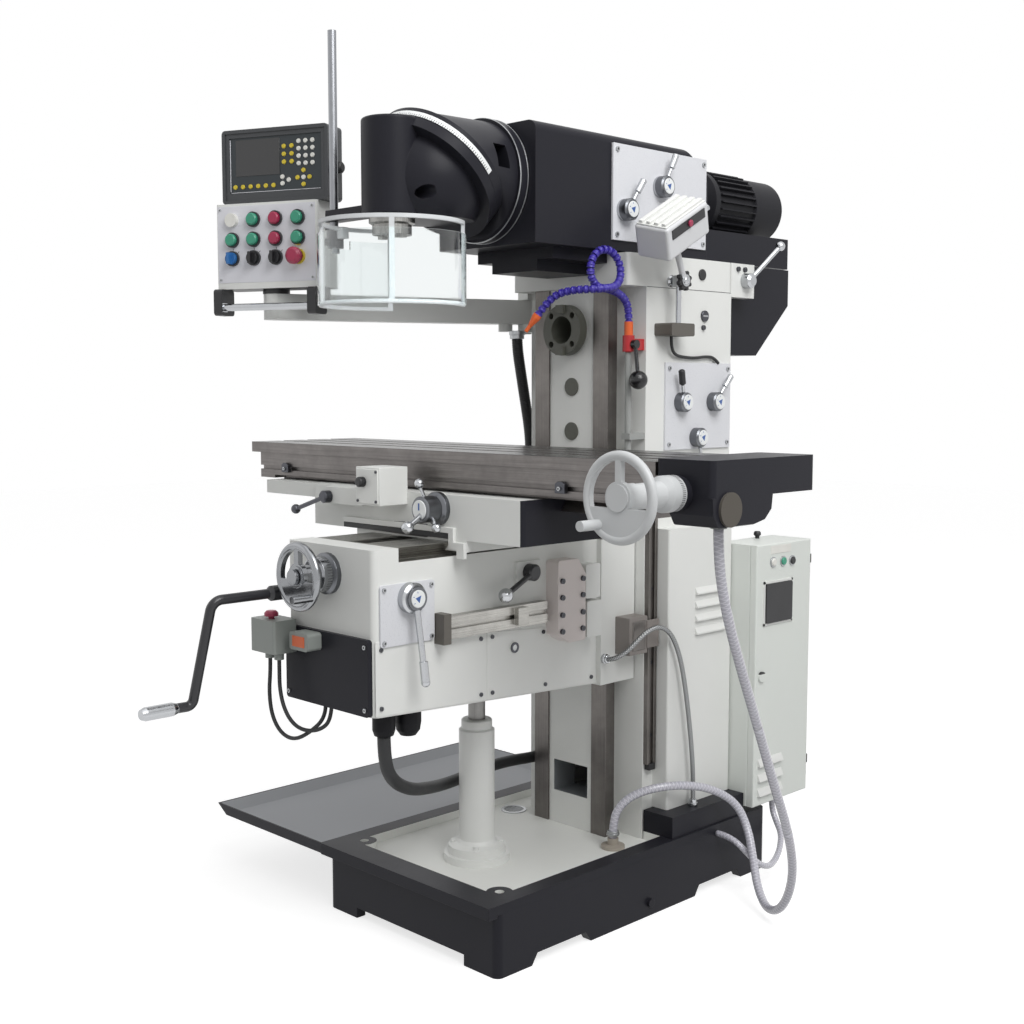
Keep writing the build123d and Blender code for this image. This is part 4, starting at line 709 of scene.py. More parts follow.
screws = screw_tree("Socket-head screws", tinned, ink)
bolts = screw_tree("Blackened socket-head screws", dark_steel, ink)
ticks = tick_tree("Graduation marks", ink)
blue_ticks = tick_tree("Blue graduation marks", dial_blue)
yellow_keys = key_tree("Yellow keys", yellow_plastic)
white_keys = key_tree("White keys", white_plastic)


def dress(paint, *names):
    """Gives CAD nodes a material through their own slots."""
    for name in names:
        node = frame["nodes"][name]
        if not node.material_slots:
            node.data.materials.append(None)
        for slot in node.material_slots:
            slot.link = "OBJECT"
            slot.material = paint


def plate_zone(low, high, plate):
    """Mask of a plate that stands on a face that looks along +X."""
    (y0, z0), (y1, z1) = plate
    return inside((low, y0 - 0.001, z0 - 0.001), (high, y1 + 0.001, z1 + 0.001))


# Base, tube and column

def base_and_tube():
    """Base casting with its pale pan and grey tray, the tube of the elevating screw, strainer and bolts."""
    pan = inside((-0.2606, -0.4656, PAN_FLOOR - 0.004), (0.2606, 0.4656, RIM_TOP - 0.0004))
    tray = inside((-FAR, -0.532, PAN_FLOOR - 0.004), (-0.309, FAR, RIM_TOP - 0.0004))
    dress(material("Base casting in anthracite enamel with a pale pan", ANTHRACITE, (pan, PAN), (tray, TRAY),
                   **SATIN), "base_casting")
    dress(material("Telescopic tube in off-white enamel", WHITE), "screw_tube")
    dress(material("Steel screw", ground("#8d8c8a", 2, (0.3, 0.5))), "table_screw", "elevating_screw")
    bm = bmesh.new()
    x, y = -0.205, 0.047
    ring(bm, 0.027, 0.035, -0.001, 0.0025, (x, y, PAN_FLOOR), UP)
    for k in range(-3, 4):
        half = sqrt(0.028 ** 2 - (0.008 * k) ** 2)
        slab(bm, (x - half, y + 0.008 * k - 0.0015, PAN_FLOOR - 0.001),
             (x + half, y + 0.008 * k + 0.0015, PAN_FLOOR + 0.0012))
    piece("pan_strainer", bm, [tinned], "frame")
    ring_of_bolts = []
    for k in range(4):
        a = radians(45 + 90 * k)
        ring_of_bolts.append(((0.059 * cos(a), -0.285 + 0.059 * sin(a), 0.186), UP, RIGHT))
    at_points("tube_flange_bolts", bolts, ring_of_bolts, "frame", Diameter=0.013, Height=0.006)


def column_group():
    """Column with ground ways and enamel plate, a window painted grey as painted shade, its plugs, and the
    rail that the knee's switch runs along.
    """
    zones = [(inside((-0.1275, WAY_FRONT - 0.001, 0.149), (-0.0765, 0.0845, WAYS_TOP + 0.0005)), WAY),
             (inside((0.0765, WAY_FRONT - 0.001, 0.149), (0.1275, 0.0845, WAYS_TOP + 0.0005)), WAY),
             (plate_zone(0.2003, 0.2075, GEAR_PLATE), PLATE),
             # The column's lower window is painted mid-grey: painted shade in the recess
             (inside((-0.0605, 0.056, 0.235), (0.0605, 0.2, 0.3215)), PAINTED_SHADE)]
    for z in (1.311, 1.197):
        zones.append((inside((-0.0235, 0.0505, z - 0.0235), (0.0235, 0.0549, z + 0.0235)), OLIVE))
    dress(material("Column casting in off-white enamel with ground ways", WHITE, *zones), "column")
    dress(material("Arbor spindle in oiled steel", OLIVE), "horizontal_spindle")
    dress(material("Sheet steel cover in off-white enamel", WHITE, edge=0.001), "side_cover")
    dress(material("Motor cover in anthracite enamel", ANTHRACITE, edge=0.0015, **SATIN), "rear_motor_cover")
    at_points("gear_plate_screws", screws, on_side(GEAR_FACE, corners(GEAR_PLATE, 0.014)), "frame",
              Diameter=0.011, Height=0.004)
    bm = bmesh.new()
    stud(bm, 0.0145, 0.004, (COLUMN_SIDE, 0.334, 1.601), RIGHT, 0)
    stud(bm, 0.0145, 0.006, (COLUMN_SIDE, 0.345, 1.495), RIGHT, 1)
    slab(bm, (COLUMN_SIDE + 0.005, 0.3345, 1.4930), (COLUMN_SIDE + 0.0066, 0.3555, 1.4970), 2)
    slab(bm, (COLUMN_SIDE - 0.0005, 0.112, WAYS_TOP - 0.0007),
         (COLUMN_SIDE + 0.0004, 0.4620, WAYS_TOP + 0.0007), 3)
    piece("column_plugs_and_seam", bm, [black_plastic, dark_steel, tinned, ink], "frame")
    spots = ((0.340, 1.465), (0.490, 1.625), (0.520, 1.625))
    at_points("column_bolts", bolts, on_side(COLUMN_SIDE, spots), "frame", Diameter=0.013, Height=0.006)
    bm = bmesh.new()
    for low, y0, high, y1 in ((COLUMN_SIDE, 0.113, 0.206, 0.147), (0.205, 0.113, 0.214, 0.1235),
                              (0.205, 0.1365, 0.214, 0.147)):
        slab(bm, (low, y0, 0.345), (high, y1, 1.005))
    slab(bm, (COLUMN_SIDE, 0.118, 0.330), (0.217, 0.142, 0.347), 1)
    piece("column_trip_rail", bm, [way_steel, black_plastic], "frame", bevel=0.0008)
    spots = [(0.130, 0.42 + 0.19 * k) for k in range(4)]
    at_points("column_trip_rail_screws", bolts, on_side(0.206, spots), "frame", Diameter=0.010, Height=0.004)


def cabinet():
    """Switch cabinet in pale sheet with its black fittings, signal lamps and louvre hoods, with a black line
    of painted shade under each hood.
    """
    hinges = inside((0.2, 0.6722, 0.0), (FAR, FAR, FAR))
    isolator = inside((DOOR_FACE + 0.0002, 0.40, 0.55), (FAR, 0.60, 0.80))
    dress(material("Cabinet sheet in pale enamel", SHEET, (hinges, BLACK), edge=0.001), "cabinet_box")
    dress(material("Cabinet door in pale enamel with black fittings", SHEET, (isolator, BLACK),
                   (hinges, BLACK), edge=0.001), "cabinet_door")
    bm = bmesh.new()
    for index, (y, z) in enumerate(((0.491, 0.846), (0.537, 0.845), (0.580, 0.843))):
        stud(bm, 0.0105, 0.007, (DOOR_FACE, y, z), RIGHT, index, 0.002)
        ring(bm, 0.010, 0.0140, -0.0005, 0.003, (DOOR_FACE, y, z), RIGHT, 3)
    slab(bm, (DOOR_FACE - 0.0005, 0.480, 0.868), (DOOR_FACE + 0.0010, 0.574, 0.890), 0)
    for low, high in (((0.449, 0.678), (0.455, 0.796)), ((0.576, 0.678), (0.582, 0.796)),
                      ((0.449, 0.678), (0.582, 0.684)), ((0.449, 0.790), (0.582, 0.796))):
        slab(bm, (DOOR_FACE - 0.0005, *low), (DOOR_FACE + 0.0030, *high), 4)
    piece("door_signal_lamps", bm, [white_plastic, green_plastic, black_plastic, tinned, white_iron], "door")
    bm = bmesh.new()
    for z in (0.225, 0.265, 0.306):
        hood = ((-0.0005, -0.008), (0.009, -0.008), (0.009, -0.006), (0.001, 0.012), (-0.0005, 0.012))
        prism(bm, [(DOOR_FACE + x, z + rise) for x, rise in hood], 1, 0.436, 0.545)
        # A thin black sheet under each hood is painted shade below it
        slab(bm, (DOOR_FACE + 0.0005, 0.438, z - 0.0084), (DOOR_FACE + 0.0080, 0.543, z - 0.0079), 1)
    piece("door_louvres", bm, [white_iron, ink], "door", bevel=0.0006)
    bm = bmesh.new()
    lathe(bm, [(0, 0.020), (0.007, 0.020), (0.010, 0.016), (0.010, 0.010), (0.006, 0.006), (0.006, -0.001),
               (0, -0.001)], (0.222, 0.569, CABINET_TOP), UP)
    piece("cabinet_knob", bm, [black_plastic], "frame")


# Knee, saddle and table

def knee_group():
    """Knee casting with its covers, trip rail, switch block, push-button boxes and cranks."""
    zones = [(inside((-FAR, -0.6595, 0.9345), (FAR, FAR, FAR)), STEEL_Y),
             (inside((-FAR, -0.7435, 0.0), (FAR, -0.7303, 0.7738)), ANTHRACITE),
             (inside((-0.07, -FAR, 0.84), (0.07, -0.7303, 0.97)), HUB),
             # The plate under the knee where the conduit leaves is painted black: painted shade under the
             # knee
             (inside((0.055, -0.705, 0.50), (0.1395, -0.57, 0.6335)), BLACK),
             (plate_zone(0.1552, 0.1615, FEED_PLATE), PLATE)]
    dress(material("Knee casting in off-white enamel with ground dovetail", WHITE, *zones, **SATIN), "knee")
    dress(material("Steel trip rail with a cast bracket and white boxes", STEEL_Y,
                   (inside((-FAR, -0.562, 0.0), (FAR, -0.5379, FAR)), DRAB),
                   (inside((-FAR, -0.2015, 0.0), (FAR, -0.1035, FAR)), OFF_WHITE),
                   (inside((-FAR, -0.0975, 0.0), (FAR, FAR, FAR)), WHITE)), "trip_rail")
    dress(material("Push-button boxes in grey-green enamel", enamel("#8f9490", 0.4)), "button_box")
    dress(red_plastic, "jog_button")
    grip = inside((-0.17, -FAR, 0.0), (-0.12, -1.0285, FAR))
    dress(material("Crank in black enamel with chromed grip", enamel("#232327", 0.3), (grip, CHROME)),
          "knee_crank")
    dress(material("Handwheel in polished steel", bright("#96989b", 0.14)), "cross_handwheel")
    ball = inside((-FAR, -0.396, 0.0), (FAR, -0.3605, FAR))
    dress(material("Clamp lever in black enamel with a chromed ball", enamel("#222226", 0.3), (ball, CHROME)),
          "knee_clamp_lever")
    at_points("feed_plate_screws", screws, on_side(FEED_FACE, corners(FEED_PLATE, 0.010)), "knee",
              Diameter=0.010, Height=0.004)
    bm = bmesh.new()
    prism(bm, [(-0.727, 0.606), (-0.402, 0.591), (-0.402, 0.748), (-0.727, 0.769)], 0, 0.1545, 0.1562)
    prism(bm, [(-0.398, 0.591), (-0.024, 0.5735), (-0.024, 0.724), (-0.398, 0.748)], 0, 0.1545, 0.1562)
    piece("knee_side_covers", bm, [white_iron], "knee", bevel=0.0005)
    side = [(-0.712, 0.750), (-0.712, 0.622), (-0.418, 0.736), (-0.418, 0.606), (-0.382, 0.736),
            (-0.382, 0.605), (-0.212, 0.726), (-0.205, 0.597), (-0.040, 0.590)]
    at_points("knee_cover_screws", bolts, on_side(0.156, side), "knee", Diameter=0.010, Height=0.003)
    front = [(x, z) for x in (-0.138, 0.138) for z in (0.620, 0.757)]
    at_points("knee_front_screws", screws, on_front(-0.742, front), "knee", Diameter=0.010, Height=0.003)
    bm = bmesh.new()
    sight = (0.160, -0.313, 0.702)
    ring(bm, 0.0075, 0.0128, -0.0005, 0.003, sight, RIGHT, 0, sides=32)
    stud(bm, 0.0078, 0.0015, sight, RIGHT, 1, 0.0005)
    piece("oil_sight", bm, [dark_steel, dial_white], "knee")
    bm = bmesh.new()
    slab(bm, (0.1705, 0.034, 0.640), (0.2185, 0.104, 0.735))
    slab(bm, (0.2155, 0.100, 0.652), (0.2215, 0.146, 0.723))
    slab(bm, (0.2180, 0.046, 0.650), (0.2205, 0.094, 0.725), 1)
    piece("limit_switch", bm, [brown_iron, way_steel], "knee", bevel=0.002)
    clamps = [(y, z) for y in (-0.188, -0.116) for z in (0.728, 0.768, 0.810, 0.850)]
    at_points("rail_bracket_bolts", bolts, on_side(0.195, clamps), "knee", Diameter=0.013, Height=0.006)
    bm = bmesh.new()
    slab(bm, (-0.070, -0.7815, 0.738), (-0.026, -0.7795, 0.762))
    piece("button_plate", bm, [orange_plastic], "knee", bevel=0.0006)


def table_group():
    """Saddle, slotted table with its brackets and trip dogs, handwheel and feed handle."""
    dress(material("Saddle casting in off-white enamel with dark end", WHITE,
                   (inside((-FAR, -FAR, 0.0), (FAR, -0.4972, 1.0006)), STEEL_X),
                   (inside((0.06, -FAR, 0.995), (0.15, -0.4973, 1.085)), HUB),
                   (inside((0.362, -FAR, 0.0), (FAR, FAR, FAR)), ANTHRACITE), **SATIN), "saddle")
    bm = bmesh.new()
    holder = ((-0.238, 0.985), (0.143, 0.985), (0.143, 0.948), (0.170, 0.948), (0.170, 0.930),
              (0.195, 0.930), (0.195, 0.966), (0.160, 0.966), (0.160, 0.998), (-0.238, 0.998))
    prism(bm, holder, 1, -0.5060, SADDLE_FRONT + 0.0005, 0)
    slab(bm, (-0.238, -0.5045, 0.972), (0.141, SADDLE_FRONT + 0.0005, 0.9848), 1)
    piece("saddle_wiper_holder", bm, [white_iron, rubber], "saddle", bevel=0.0012)
    top = inside((-FAR, -FAR, TABLE_TOP - 0.0006), (FAR, FAR, FAR))
    dress(material("Table in ground and milled steel", MILLED, (top, STEEL_X)), "table")
    dress(material("End brackets in anthracite enamel", ANTHRACITE,
                   (inside((0.74, -0.40, 0.0), (FAR, -0.30, 1.0432)), GREY),
                   (inside((0.8372, -0.44, 1.04), (FAR, -0.368, 1.112)), DRAB), **SATIN),
          "table_end_brackets")
    dress(material("Handwheel in light grey enamel", enamel("#c7c9ca", 0.34)), "table_handwheel")
    dress(material("Clamp lever in dark steel", DARK_STEEL), "table_clamp_lever")
    dress(material("Feed handle in chromed steel", CHROME), "table_feed_lever")
    marks = []
    for k in range(60):
        a = 2 * pi * k / 60
        out = Vector((cos(a), 0, sin(a)))
        marks.append((Vector((0.755, -0.484, 1.107)) + 0.0361 * out, out, (0, 1, 0)))
    at_points("handwheel_scale", ticks, marks, "table_wheel", Width=0.0011, Length=0.009, Thick=0.0005)
    bm = bmesh.new()
    for x in (-0.550, 0.438):
        prism(bm, [(x - 0.014, 1.088), (x + 0.014, 1.088), (x + 0.014, 1.108), (x + 0.006, 1.113),
                   (x - 0.006, 1.113), (x - 0.014, 1.108)], 1, -0.4565, TABLE_SKIRT + 0.0005)
    piece("table_trip_dogs", bm, [dark_steel], "table", bevel=0.001)
    at_points("table_trip_dog_screws", screws, on_front(-0.4565, ((-0.550, 1.098), (0.438, 1.098))), "table",
              Diameter=0.009, Height=0.004)
    bm = bmesh.new()
    slab(bm, (-0.092, -0.580, 1.040), (-0.006, SADDLE_FRONT + 0.001, 1.128))
    slab(bm, (-0.088, -0.5825, 1.044), (-0.010, -0.5795, 1.124), 0)
    stud(bm, 0.012, 0.018, (-0.062, -0.5820, 1.094), FRONT, 1, 0.003)
    piece("feed_switch_housing", bm, [white_iron, black_plastic], "saddle", bevel=0.003)
    spots = ((-0.082, 1.050), (-0.016, 1.050), (-0.016, 1.118))
    at_points("feed_switch_screws", bolts, on_front(-0.5825, spots), "saddle", Diameter=0.007, Height=0.002)
    bm = bmesh.new()
    for end in ((0.092, -0.546, 1.096), (0.150, -0.546, 1.000)):
        ball_arm(bm, (0.104, -0.529, 1.038), end, 0.0055, 0.0110)
    lathe(bm, [(0, 0.040), (0.027, 0.040), (0.030, 0.037), (0.030, 0.0005), (0, 0.0005)], FEED_HUB, FRONT, 1)
    lathe(bm, [(0, 0.0425), (0.021, 0.0425), (0.022, 0.0415), (0.022, 0.0395), (0, 0.0395)],
          FEED_HUB, FRONT, 2)
    piece("feed_handle_arms", bm, [chrome_steel, hub_steel, dial_white], "table_feed")
    at_points("feed_handle_mark", blue_ticks, on_front(-0.558, ((0.104, 1.045),)), "table_feed",
              Width=0.005, Length=0.016, Thick=0.0006)


# Ram and milling head

def dial(name, centre, body):
    """White disc on the front of a lever's hub with a blue pointer and three marks."""
    x, y, z = centre
    bm = bmesh.new()
    lathe(bm, [(0, 0.0022), (0.0185, 0.0022), (0.0195, 0.0014), (0.0195, -0.001), (0, -0.001)], centre, RIGHT)
    pointer = [(y - 0.009, z + 0.002), (y + 0.002, z - 0.009), (y + 0.007, z + 0.007)]
    prism(bm, pointer, 0, x + 0.0015, x + 0.0026, 1)
    piece(name, bm, [dial_white, dial_blue], body, angle=30)
    marks = []
    for turn in (100, 160, 220):
        way = Vector((0, cos(radians(turn)), sin(radians(turn))))
        marks.append((Vector((x + 0.0022, y, z)) + 0.0145 * way, RIGHT, way))
    at_points(name + "_marks", blue_ticks, marks, body, Width=0.0012, Length=0.004, Thick=0.0006)


def levers():
    """Gear, speed and feed levers: dull hubs with printed dials and chromed bars; one has a black grip."""
    fronts = {"gear_lever_front": 0.2325, "gear_lever_rear": 0.2325, "gear_lever_low": 0.2325,
              "speed_lever_front": 0.2015, "speed_lever_top": 0.2015, "speed_lever_rear": 0.2015,
              "feed_lever": 0.1885}
    for name, x in fronts.items():
        hub = Vector(joints[name]["pos_m"])
        middle = (x - 0.013, hub.y, hub.z)
        zones = [(beyond(middle, 0.029), CHROME)]
        if name == "gear_lever_front":
            zones.append((beyond(middle, 0.046), BLACK))
        dress(material("Steel hub and bar of the " + name.replace("_", " "), HUB, *zones), name)
        dial(name + "_dial", (x, hub.y, hub.z), name)
    dress(chrome_steel, "ram_clamp_lever")


def ram_and_head():
    """Ram with its enamel plate, motor, swivelling head with scale and rings, spindle and guard."""
    dress(material("Ram casting in anthracite enamel with a pale plate", ANTHRACITE,
                   (plate_zone(0.1655, 0.1725, SPEED_PLATE), PLATE), **SATIN), "ram")
    dress(material("Motor with cast cooling ribs in anthracite enamel", enamel("#26262a", 0.45), **SATIN),
          "drive_motor")
    dress(dark_iron, "head_swivel")
    post = inside((-0.2045, -0.5685, 1.30), (-0.1815, -0.5455, 2.2))
    dress(material("Milling head in anthracite enamel with a steel post", ANTHRACITE,
                   (post, bright("#94969a", 0.3)), **SATIN), "milling_head")
    dress(material("Spindle in ground steel", ground("#a9a8a5", 2)), "vertical_spindle")
    collar = inside((-FAR, -FAR, 1.630), (-0.1715, FAR, 1.682))
    dress(material("Guard bands in white plastic with a dark clamp", moulded("#dfe2e4", 0.35),
                   (collar, enamel("#3c3e43", 0.4))), "guard_frame")
    dress(acrylic, "guard_shield")
    at_points("speed_plate_screws", screws, on_side(SPEED_FACE, corners(SPEED_PLATE, 0.014)), "ram",
              Diameter=0.012, Height=0.004)
    centre = Vector(joints["head_nod"]["pos_m"])
    axis = Vector((0, -1, -1)).normalized()
    up = axis.cross(Vector(RIGHT))
    bm = bmesh.new()
    arc_band(bm, centre, axis, NOD_R - 0.0004, -0.016, -0.002, -8, 112, 0.0011)
    for place in (0.0010, 0.0255):
        ring(bm, FLANGE_R - 0.001, FLANGE_R + 0.0012, place, place + 0.0035, (0, FLANGE_FRONT, centre.z),
             (0, 1, 0), 1)
    piece("swivel_scale_and_rings", bm, [dial_white, tinned], "swivel")
    marks = []
    for k in range(57):
        a = radians(-4 + 2 * k)
        out = Vector((cos(a), 0, 0)) + up * sin(a)
        place = -0.005 if k % 5 else -0.007
        marks.append((centre + axis * place + out * (NOD_R + 0.0007), out, axis))
    at_points("swivel_scale_marks", ticks, marks, "swivel", Width=0.0012, Length=0.006, Thick=0.0005)


# Control station

def station():
    """Swinging control station: printed sheet with push-buttons, and the readout with its keys."""
    gland = inside((-0.2405, 0.045, 1.455), (-0.19, 0.095, 1.4798))
    dress(material("Control arm in off-white enamel with a grey gland", WHITE, (gland, GREY)), "control_arm")
    proud = PANEL_FACE - 0.0009
    zones = [(on_station((-FAR, -0.08, 1.60), (FAR, proud, 1.76)), BEZEL),
             (on_station((-0.114, -0.08, 1.709), (-0.078, proud, 1.745)), IVORY),
             (on_station((0.066, -0.08, 1.603), (0.122, proud, 1.661)), YELLOW),
             (on_station((-FAR, -FAR, 0.0), (FAR, FAR, 1.5562)), BLACK),
             (on_station((-0.128, -0.068, 1.499), (0.128, -0.046, 1.521)), CHROME)]
    dress(material("Control station in off-white enamel with black grip ends", WHITE, *zones, edge=0.001),
          "control_panel")
    well = on_station((-0.1095, READOUT_FACE - 0.001, 1.7935), (0.1555, READOUT_FACE + 0.001, 1.9305))
    dress(material("Readout case in charcoal plastic", moulded("#3a3c3f", 0.45),
                   (well, moulded("#20282d", 0.4)), edge=0.001), "readout_unit")
    for number in range(1, 8):
        dress(red_plastic if number in (2, 6) else green_plastic, "push_button_%d" % number)
    dress(blue_plastic, "selector_1")
    dress(black_plastic, "selector_2", "selector_3")
    dress(red_plastic, "emergency_stop")
    bm = bmesh.new()
    slab(bm, (-0.141, PANEL_FACE - 0.0008, 1.572), (0.141, PANEL_FACE + 0.0005, 1.762))
    piece("panel_sheet", bm, [overlay], "panel", bevel=0.0004, turn=STATION_TURN)
    spots = [(x, z) for z in (1.580, 1.754) for x in (-0.133, 0.133)]
    at_points("panel_screws", screws, on_front(PANEL_FACE - 0.0008, spots), "panel", turn=STATION_TURN,
              Diameter=0.007, Height=0.002)
    marks = []
    for x, z in SELECTORS:
        for turn in (45, 90, 135):
            way = Vector((cos(radians(turn)), 0, sin(radians(turn))))
            marks.append((Vector((x, PANEL_FACE - 0.0008, z)) + 0.0225 * way, FRONT, way))
    at_points("selector_marks", ticks, marks, "panel", turn=STATION_TURN,
              Width=0.0014, Length=0.005, Thick=0.0006)
    readout()


def readout():
    """Display and keys in the readout's well, and the knob on its right side."""
    face = READOUT_FACE
    bm = bmesh.new()
    slab(bm, (-0.091, face - 0.0014, 1.836), (0.036, face + 0.0005, 1.925), 0)
    slab(bm, (-0.1085, face - 0.0010, 1.799), (-0.1065, face + 0.0005, 1.927), 1)
    slab(bm, (-0.1065, face - 0.0010, 1.7955), (0.151, face + 0.0005, 1.7970), 1)
    lathe(bm, [(0, 0.020), (0.010, 0.020), (0.014, 0.016), (0.014, 0.005), (0.007, 0.003), (0.007, -0.001),
               (0, -0.001)], (0.175, 0.0, 1.848), RIGHT, 2)
    piece("readout_display", bm, [display, overlay, rubber], "panel", bevel=0.0004, turn=STATION_TURN)
    yellow = [(x, z) for x in (0.048, 0.070) for z in (1.865, 1.884, 1.903)]
    yellow += [(-0.094 + 0.0222 * k, 1.810) for k in range(6)]
    yellow += [(0.086, 1.825), (0.120, 1.825), (0.103, 1.808), (0.103, 1.842)]
    white = [(x, z) for x in (0.090, 0.1095, 0.129) for z in (1.859, 1.877, 1.895, 1.913)]
    white += [(0.043, 1.813), (0.043, 1.829), (0.061, 1.821), (0.103, 1.825)]
    for name, tree, spots in (("readout_yellow_keys", yellow_keys, yellow),
                              ("readout_white_keys", white_keys, white)):
        at_points(name, tree, on_front(face, spots), "panel", turn=STATION_TURN,
                  Diameter=0.012, Height=0.0028)


# Work lamp and coolant valve

def lamp_and_valve():
    """Work lamp with its ribbed lid, switch and lobed knob on a steel rod; coolant valve and grey pipe."""
    foot = inside((-FAR, -FAR, 0.0), (FAR, FAR, 1.4706))
    dress(material("Lamp rod in chromed steel on a drab foot", CHROME, (foot, DRAB)), "lamp_bracket")
    joint = inside((0.2135, 0.165, 1.555), (0.2685, 0.205, 1.595))
    dress(material("Work lamp in white enamelled aluminium", enamel("#dcdddf", 0.3), (joint, CHROME)),
          "lamp_head")
    bm = bmesh.new()
    slab(bm, (-0.0435, -0.084, 0.0410), (0.0435, 0.084, 0.0450))
    for x in (-0.033, -0.011, 0.011, 0.033):
        slab(bm, (x - 0.006, -0.080, 0.0440), (x + 0.006, 0.080, 0.0515))
    piece("lamp_lid", bm, [white_iron], "lamp", bevel=0.0018, turn=LAMP_TURN)
    bm = bmesh.new()
    slab(bm, (0.0470, -0.070, 0.008), (0.0500, 0.070, 0.032), 0)
    stud(bm, 0.0085, 0.0050, (0.0500, 0.004, 0.020), RIGHT, 1, 0.0015)
    slab(bm, (-0.038, -0.073, -0.0410), (0.038, 0.073, -0.0385), 2)
    piece("lamp_switch_and_lens", bm, [black_plastic, red_plastic, white_plastic], "lamp", bevel=0.0008,
          turn=LAMP_TURN)
    bm = bmesh.new()
    pivot = Vector((0.2665, 0.185, 1.575))
    ring(bm, 0.0150, 0.0200, -0.012, -0.002, pivot, RIGHT, 0)
    for k in range(8):
        a = radians(45 * k + 20)
        lobe = pivot + Vector((-0.0125, 0.0205 * cos(a), 0.0205 * sin(a)))
        stud(bm, 0.0055, 0.011, lobe, RIGHT, 0, 0.0015, 16)
    lathe(bm, [(0, 0.006), (0.006, 0.005), (0.0105, 0.0015), (0.011, -0.001), (0, -0.001)], pivot, RIGHT, 1)
    piece("lamp_knob", bm, [black_plastic, chrome_steel], "lamp", angle=50)
    dress(material("Coolant pipe in grey enamel with red and orange fittings", GREY,
                   (inside((0.1, -0.02, 1.396), (0.23, 0.2, 1.4385)), VALVE_RED),
                   (inside((0.1, -0.02, 1.4385), (0.23, 0.2, 1.475)), ORANGE),
                   (inside((0.0, -0.25, 1.40), (0.15, -0.12, 1.60)), ORANGE),
                   (inside((0.1, -0.1, 0.0), (0.3, 0.2, 0.2)), enamel("#a79f94", 0.45))), "coolant_fittings")
    dress(material("Valve lever in black plastic", moulded("#17171a", 0.2)), "coolant_valve_lever")


# Hoses and cables: the control points of their routes

COOLANT = [(0.182, 0.064, 1.472), (0.182, 0.064, 1.503), (0.182, 0.046, 1.530), (0.183, 0.012, 1.544),
           (0.184, -0.024, 1.549), (0.185, -0.059, 1.550), (0.187, -0.085, 1.576), (0.190, -0.085, 1.614),
           (0.193, -0.059, 1.640), (0.197, -0.021, 1.640), (0.202, 0.005, 1.614), (0.207, 0.005, 1.576),
           (0.213, -0.021, 1.551), (0.213, -0.060, 1.546), (0.196, -0.095, 1.543), (0.164, -0.116, 1.542),
           (0.128, -0.134, 1.534), (0.105, -0.149, 1.513), (0.088, -0.162, 1.484)]
DRAIN = [(0.765, -0.340, 1.030), (0.765, -0.340, 0.962), (0.756, -0.296, 0.846), (0.739, -0.218, 0.718),
         (0.719, -0.128, 0.580), (0.700, -0.038, 0.436), (0.680, 0.054, 0.300), (0.654, 0.120, 0.190),
         (0.622, 0.154, 0.106), (0.580, 0.176, 0.046), (0.526, 0.202, 0.026), (0.472, 0.240, 0.052),
         (0.426, 0.284, 0.106), (0.384, 0.320, 0.166), (0.350, 0.318, 0.228), (0.324, 0.256, 0.274),
         (0.298, 0.178, 0.298), (0.260, 0.106, 0.300), (0.222, 0.052, 0.284), (0.199, 0.020, 0.254),
         (0.191, 0.008, 0.214), (0.191, 0.008, 0.174)]
PUMP = [(0.305, 0.292, 0.146), (0.349, 0.292, 0.146), (0.388, 0.300, 0.118), (0.406, 0.330, 0.080),
        (0.404, 0.384, 0.056), (0.388, 0.440, 0.058), (0.366, 0.494, 0.074), (0.340, 0.536, 0.096),
        (0.312, 0.552, 0.120), (0.291, 0.560, 0.150), (0.290, 0.560, 0.190)]
LAMP_CABLE = [(0.216, 0.190, 1.438), (0.216, 0.190, 1.413), (0.212, 0.208, 1.393), (0.207, 0.246, 1.387),
              (0.207, 0.300, 1.385), (0.207, 0.345, 1.390), (0.207, 0.382, 1.388), (0.207, 0.400, 1.373)]
ARM_CONDUIT = [(-0.216, 0.070, 1.460), (-0.216, 0.070, 1.420), (-0.222, 0.090, 1.352), (-0.228, 0.114, 1.270),
               (-0.234, 0.138, 1.186), (-0.252, 0.160, 1.108), (-0.278, 0.178, 1.034), (-0.298, 0.188, 0.958),
               (-0.298, 0.194, 0.884), (-0.276, 0.198, 0.818), (-0.232, 0.200, 0.774), (-0.176, 0.200, 0.752)]
KNEE_CONDUIT = [(0.100, -0.660, 0.545), (0.100, -0.660, 0.485), (0.092, -0.630, 0.432),
                (0.054, -0.544, 0.386), (-0.014, -0.430, 0.352), (-0.076, -0.320, 0.326),
                (-0.116, -0.210, 0.316), (-0.140, -0.100, 0.316), (-0.156, 0.000, 0.308),
                (-0.160, 0.070, 0.300), (-0.160, 0.110, 0.300)]
BRAIDED = [(0.171, -0.009, 0.634), (0.194, -0.009, 0.634), (0.214, -0.001, 0.643), (0.230, 0.018, 0.660),
           (0.239, 0.044, 0.684), (0.246, 0.074, 0.704), (0.254, 0.108, 0.712), (0.262, 0.140, 0.694),
           (0.267, 0.164, 0.652), (0.270, 0.184, 0.590), (0.272, 0.204, 0.490), (0.272, 0.222, 0.380),
           (0.272, 0.230, 0.300), (0.272, 0.230, 0.226)]
BUTTON_CABLE = [(-0.160, -0.778, 0.699), (-0.160, -0.778, 0.668), (-0.164, -0.780, 0.620),
                (-0.158, -0.778, 0.566), (-0.128, -0.776, 0.530), (-0.084, -0.772, 0.520),
                (-0.048, -0.758, 0.538), (-0.034, -0.718, 0.570), (-0.034, -0.718, 0.602)]
SWITCH_CABLE = [(-0.125, -0.778, 0.699), (-0.125, -0.778, 0.672), (-0.122, -0.780, 0.634),
                (-0.108, -0.780, 0.592), (-0.082, -0.776, 0.560), (-0.050, -0.766, 0.546),
                (-0.024, -0.742, 0.548), (-0.013, -0.720, 0.568), (-0.012, -0.718, 0.602)]


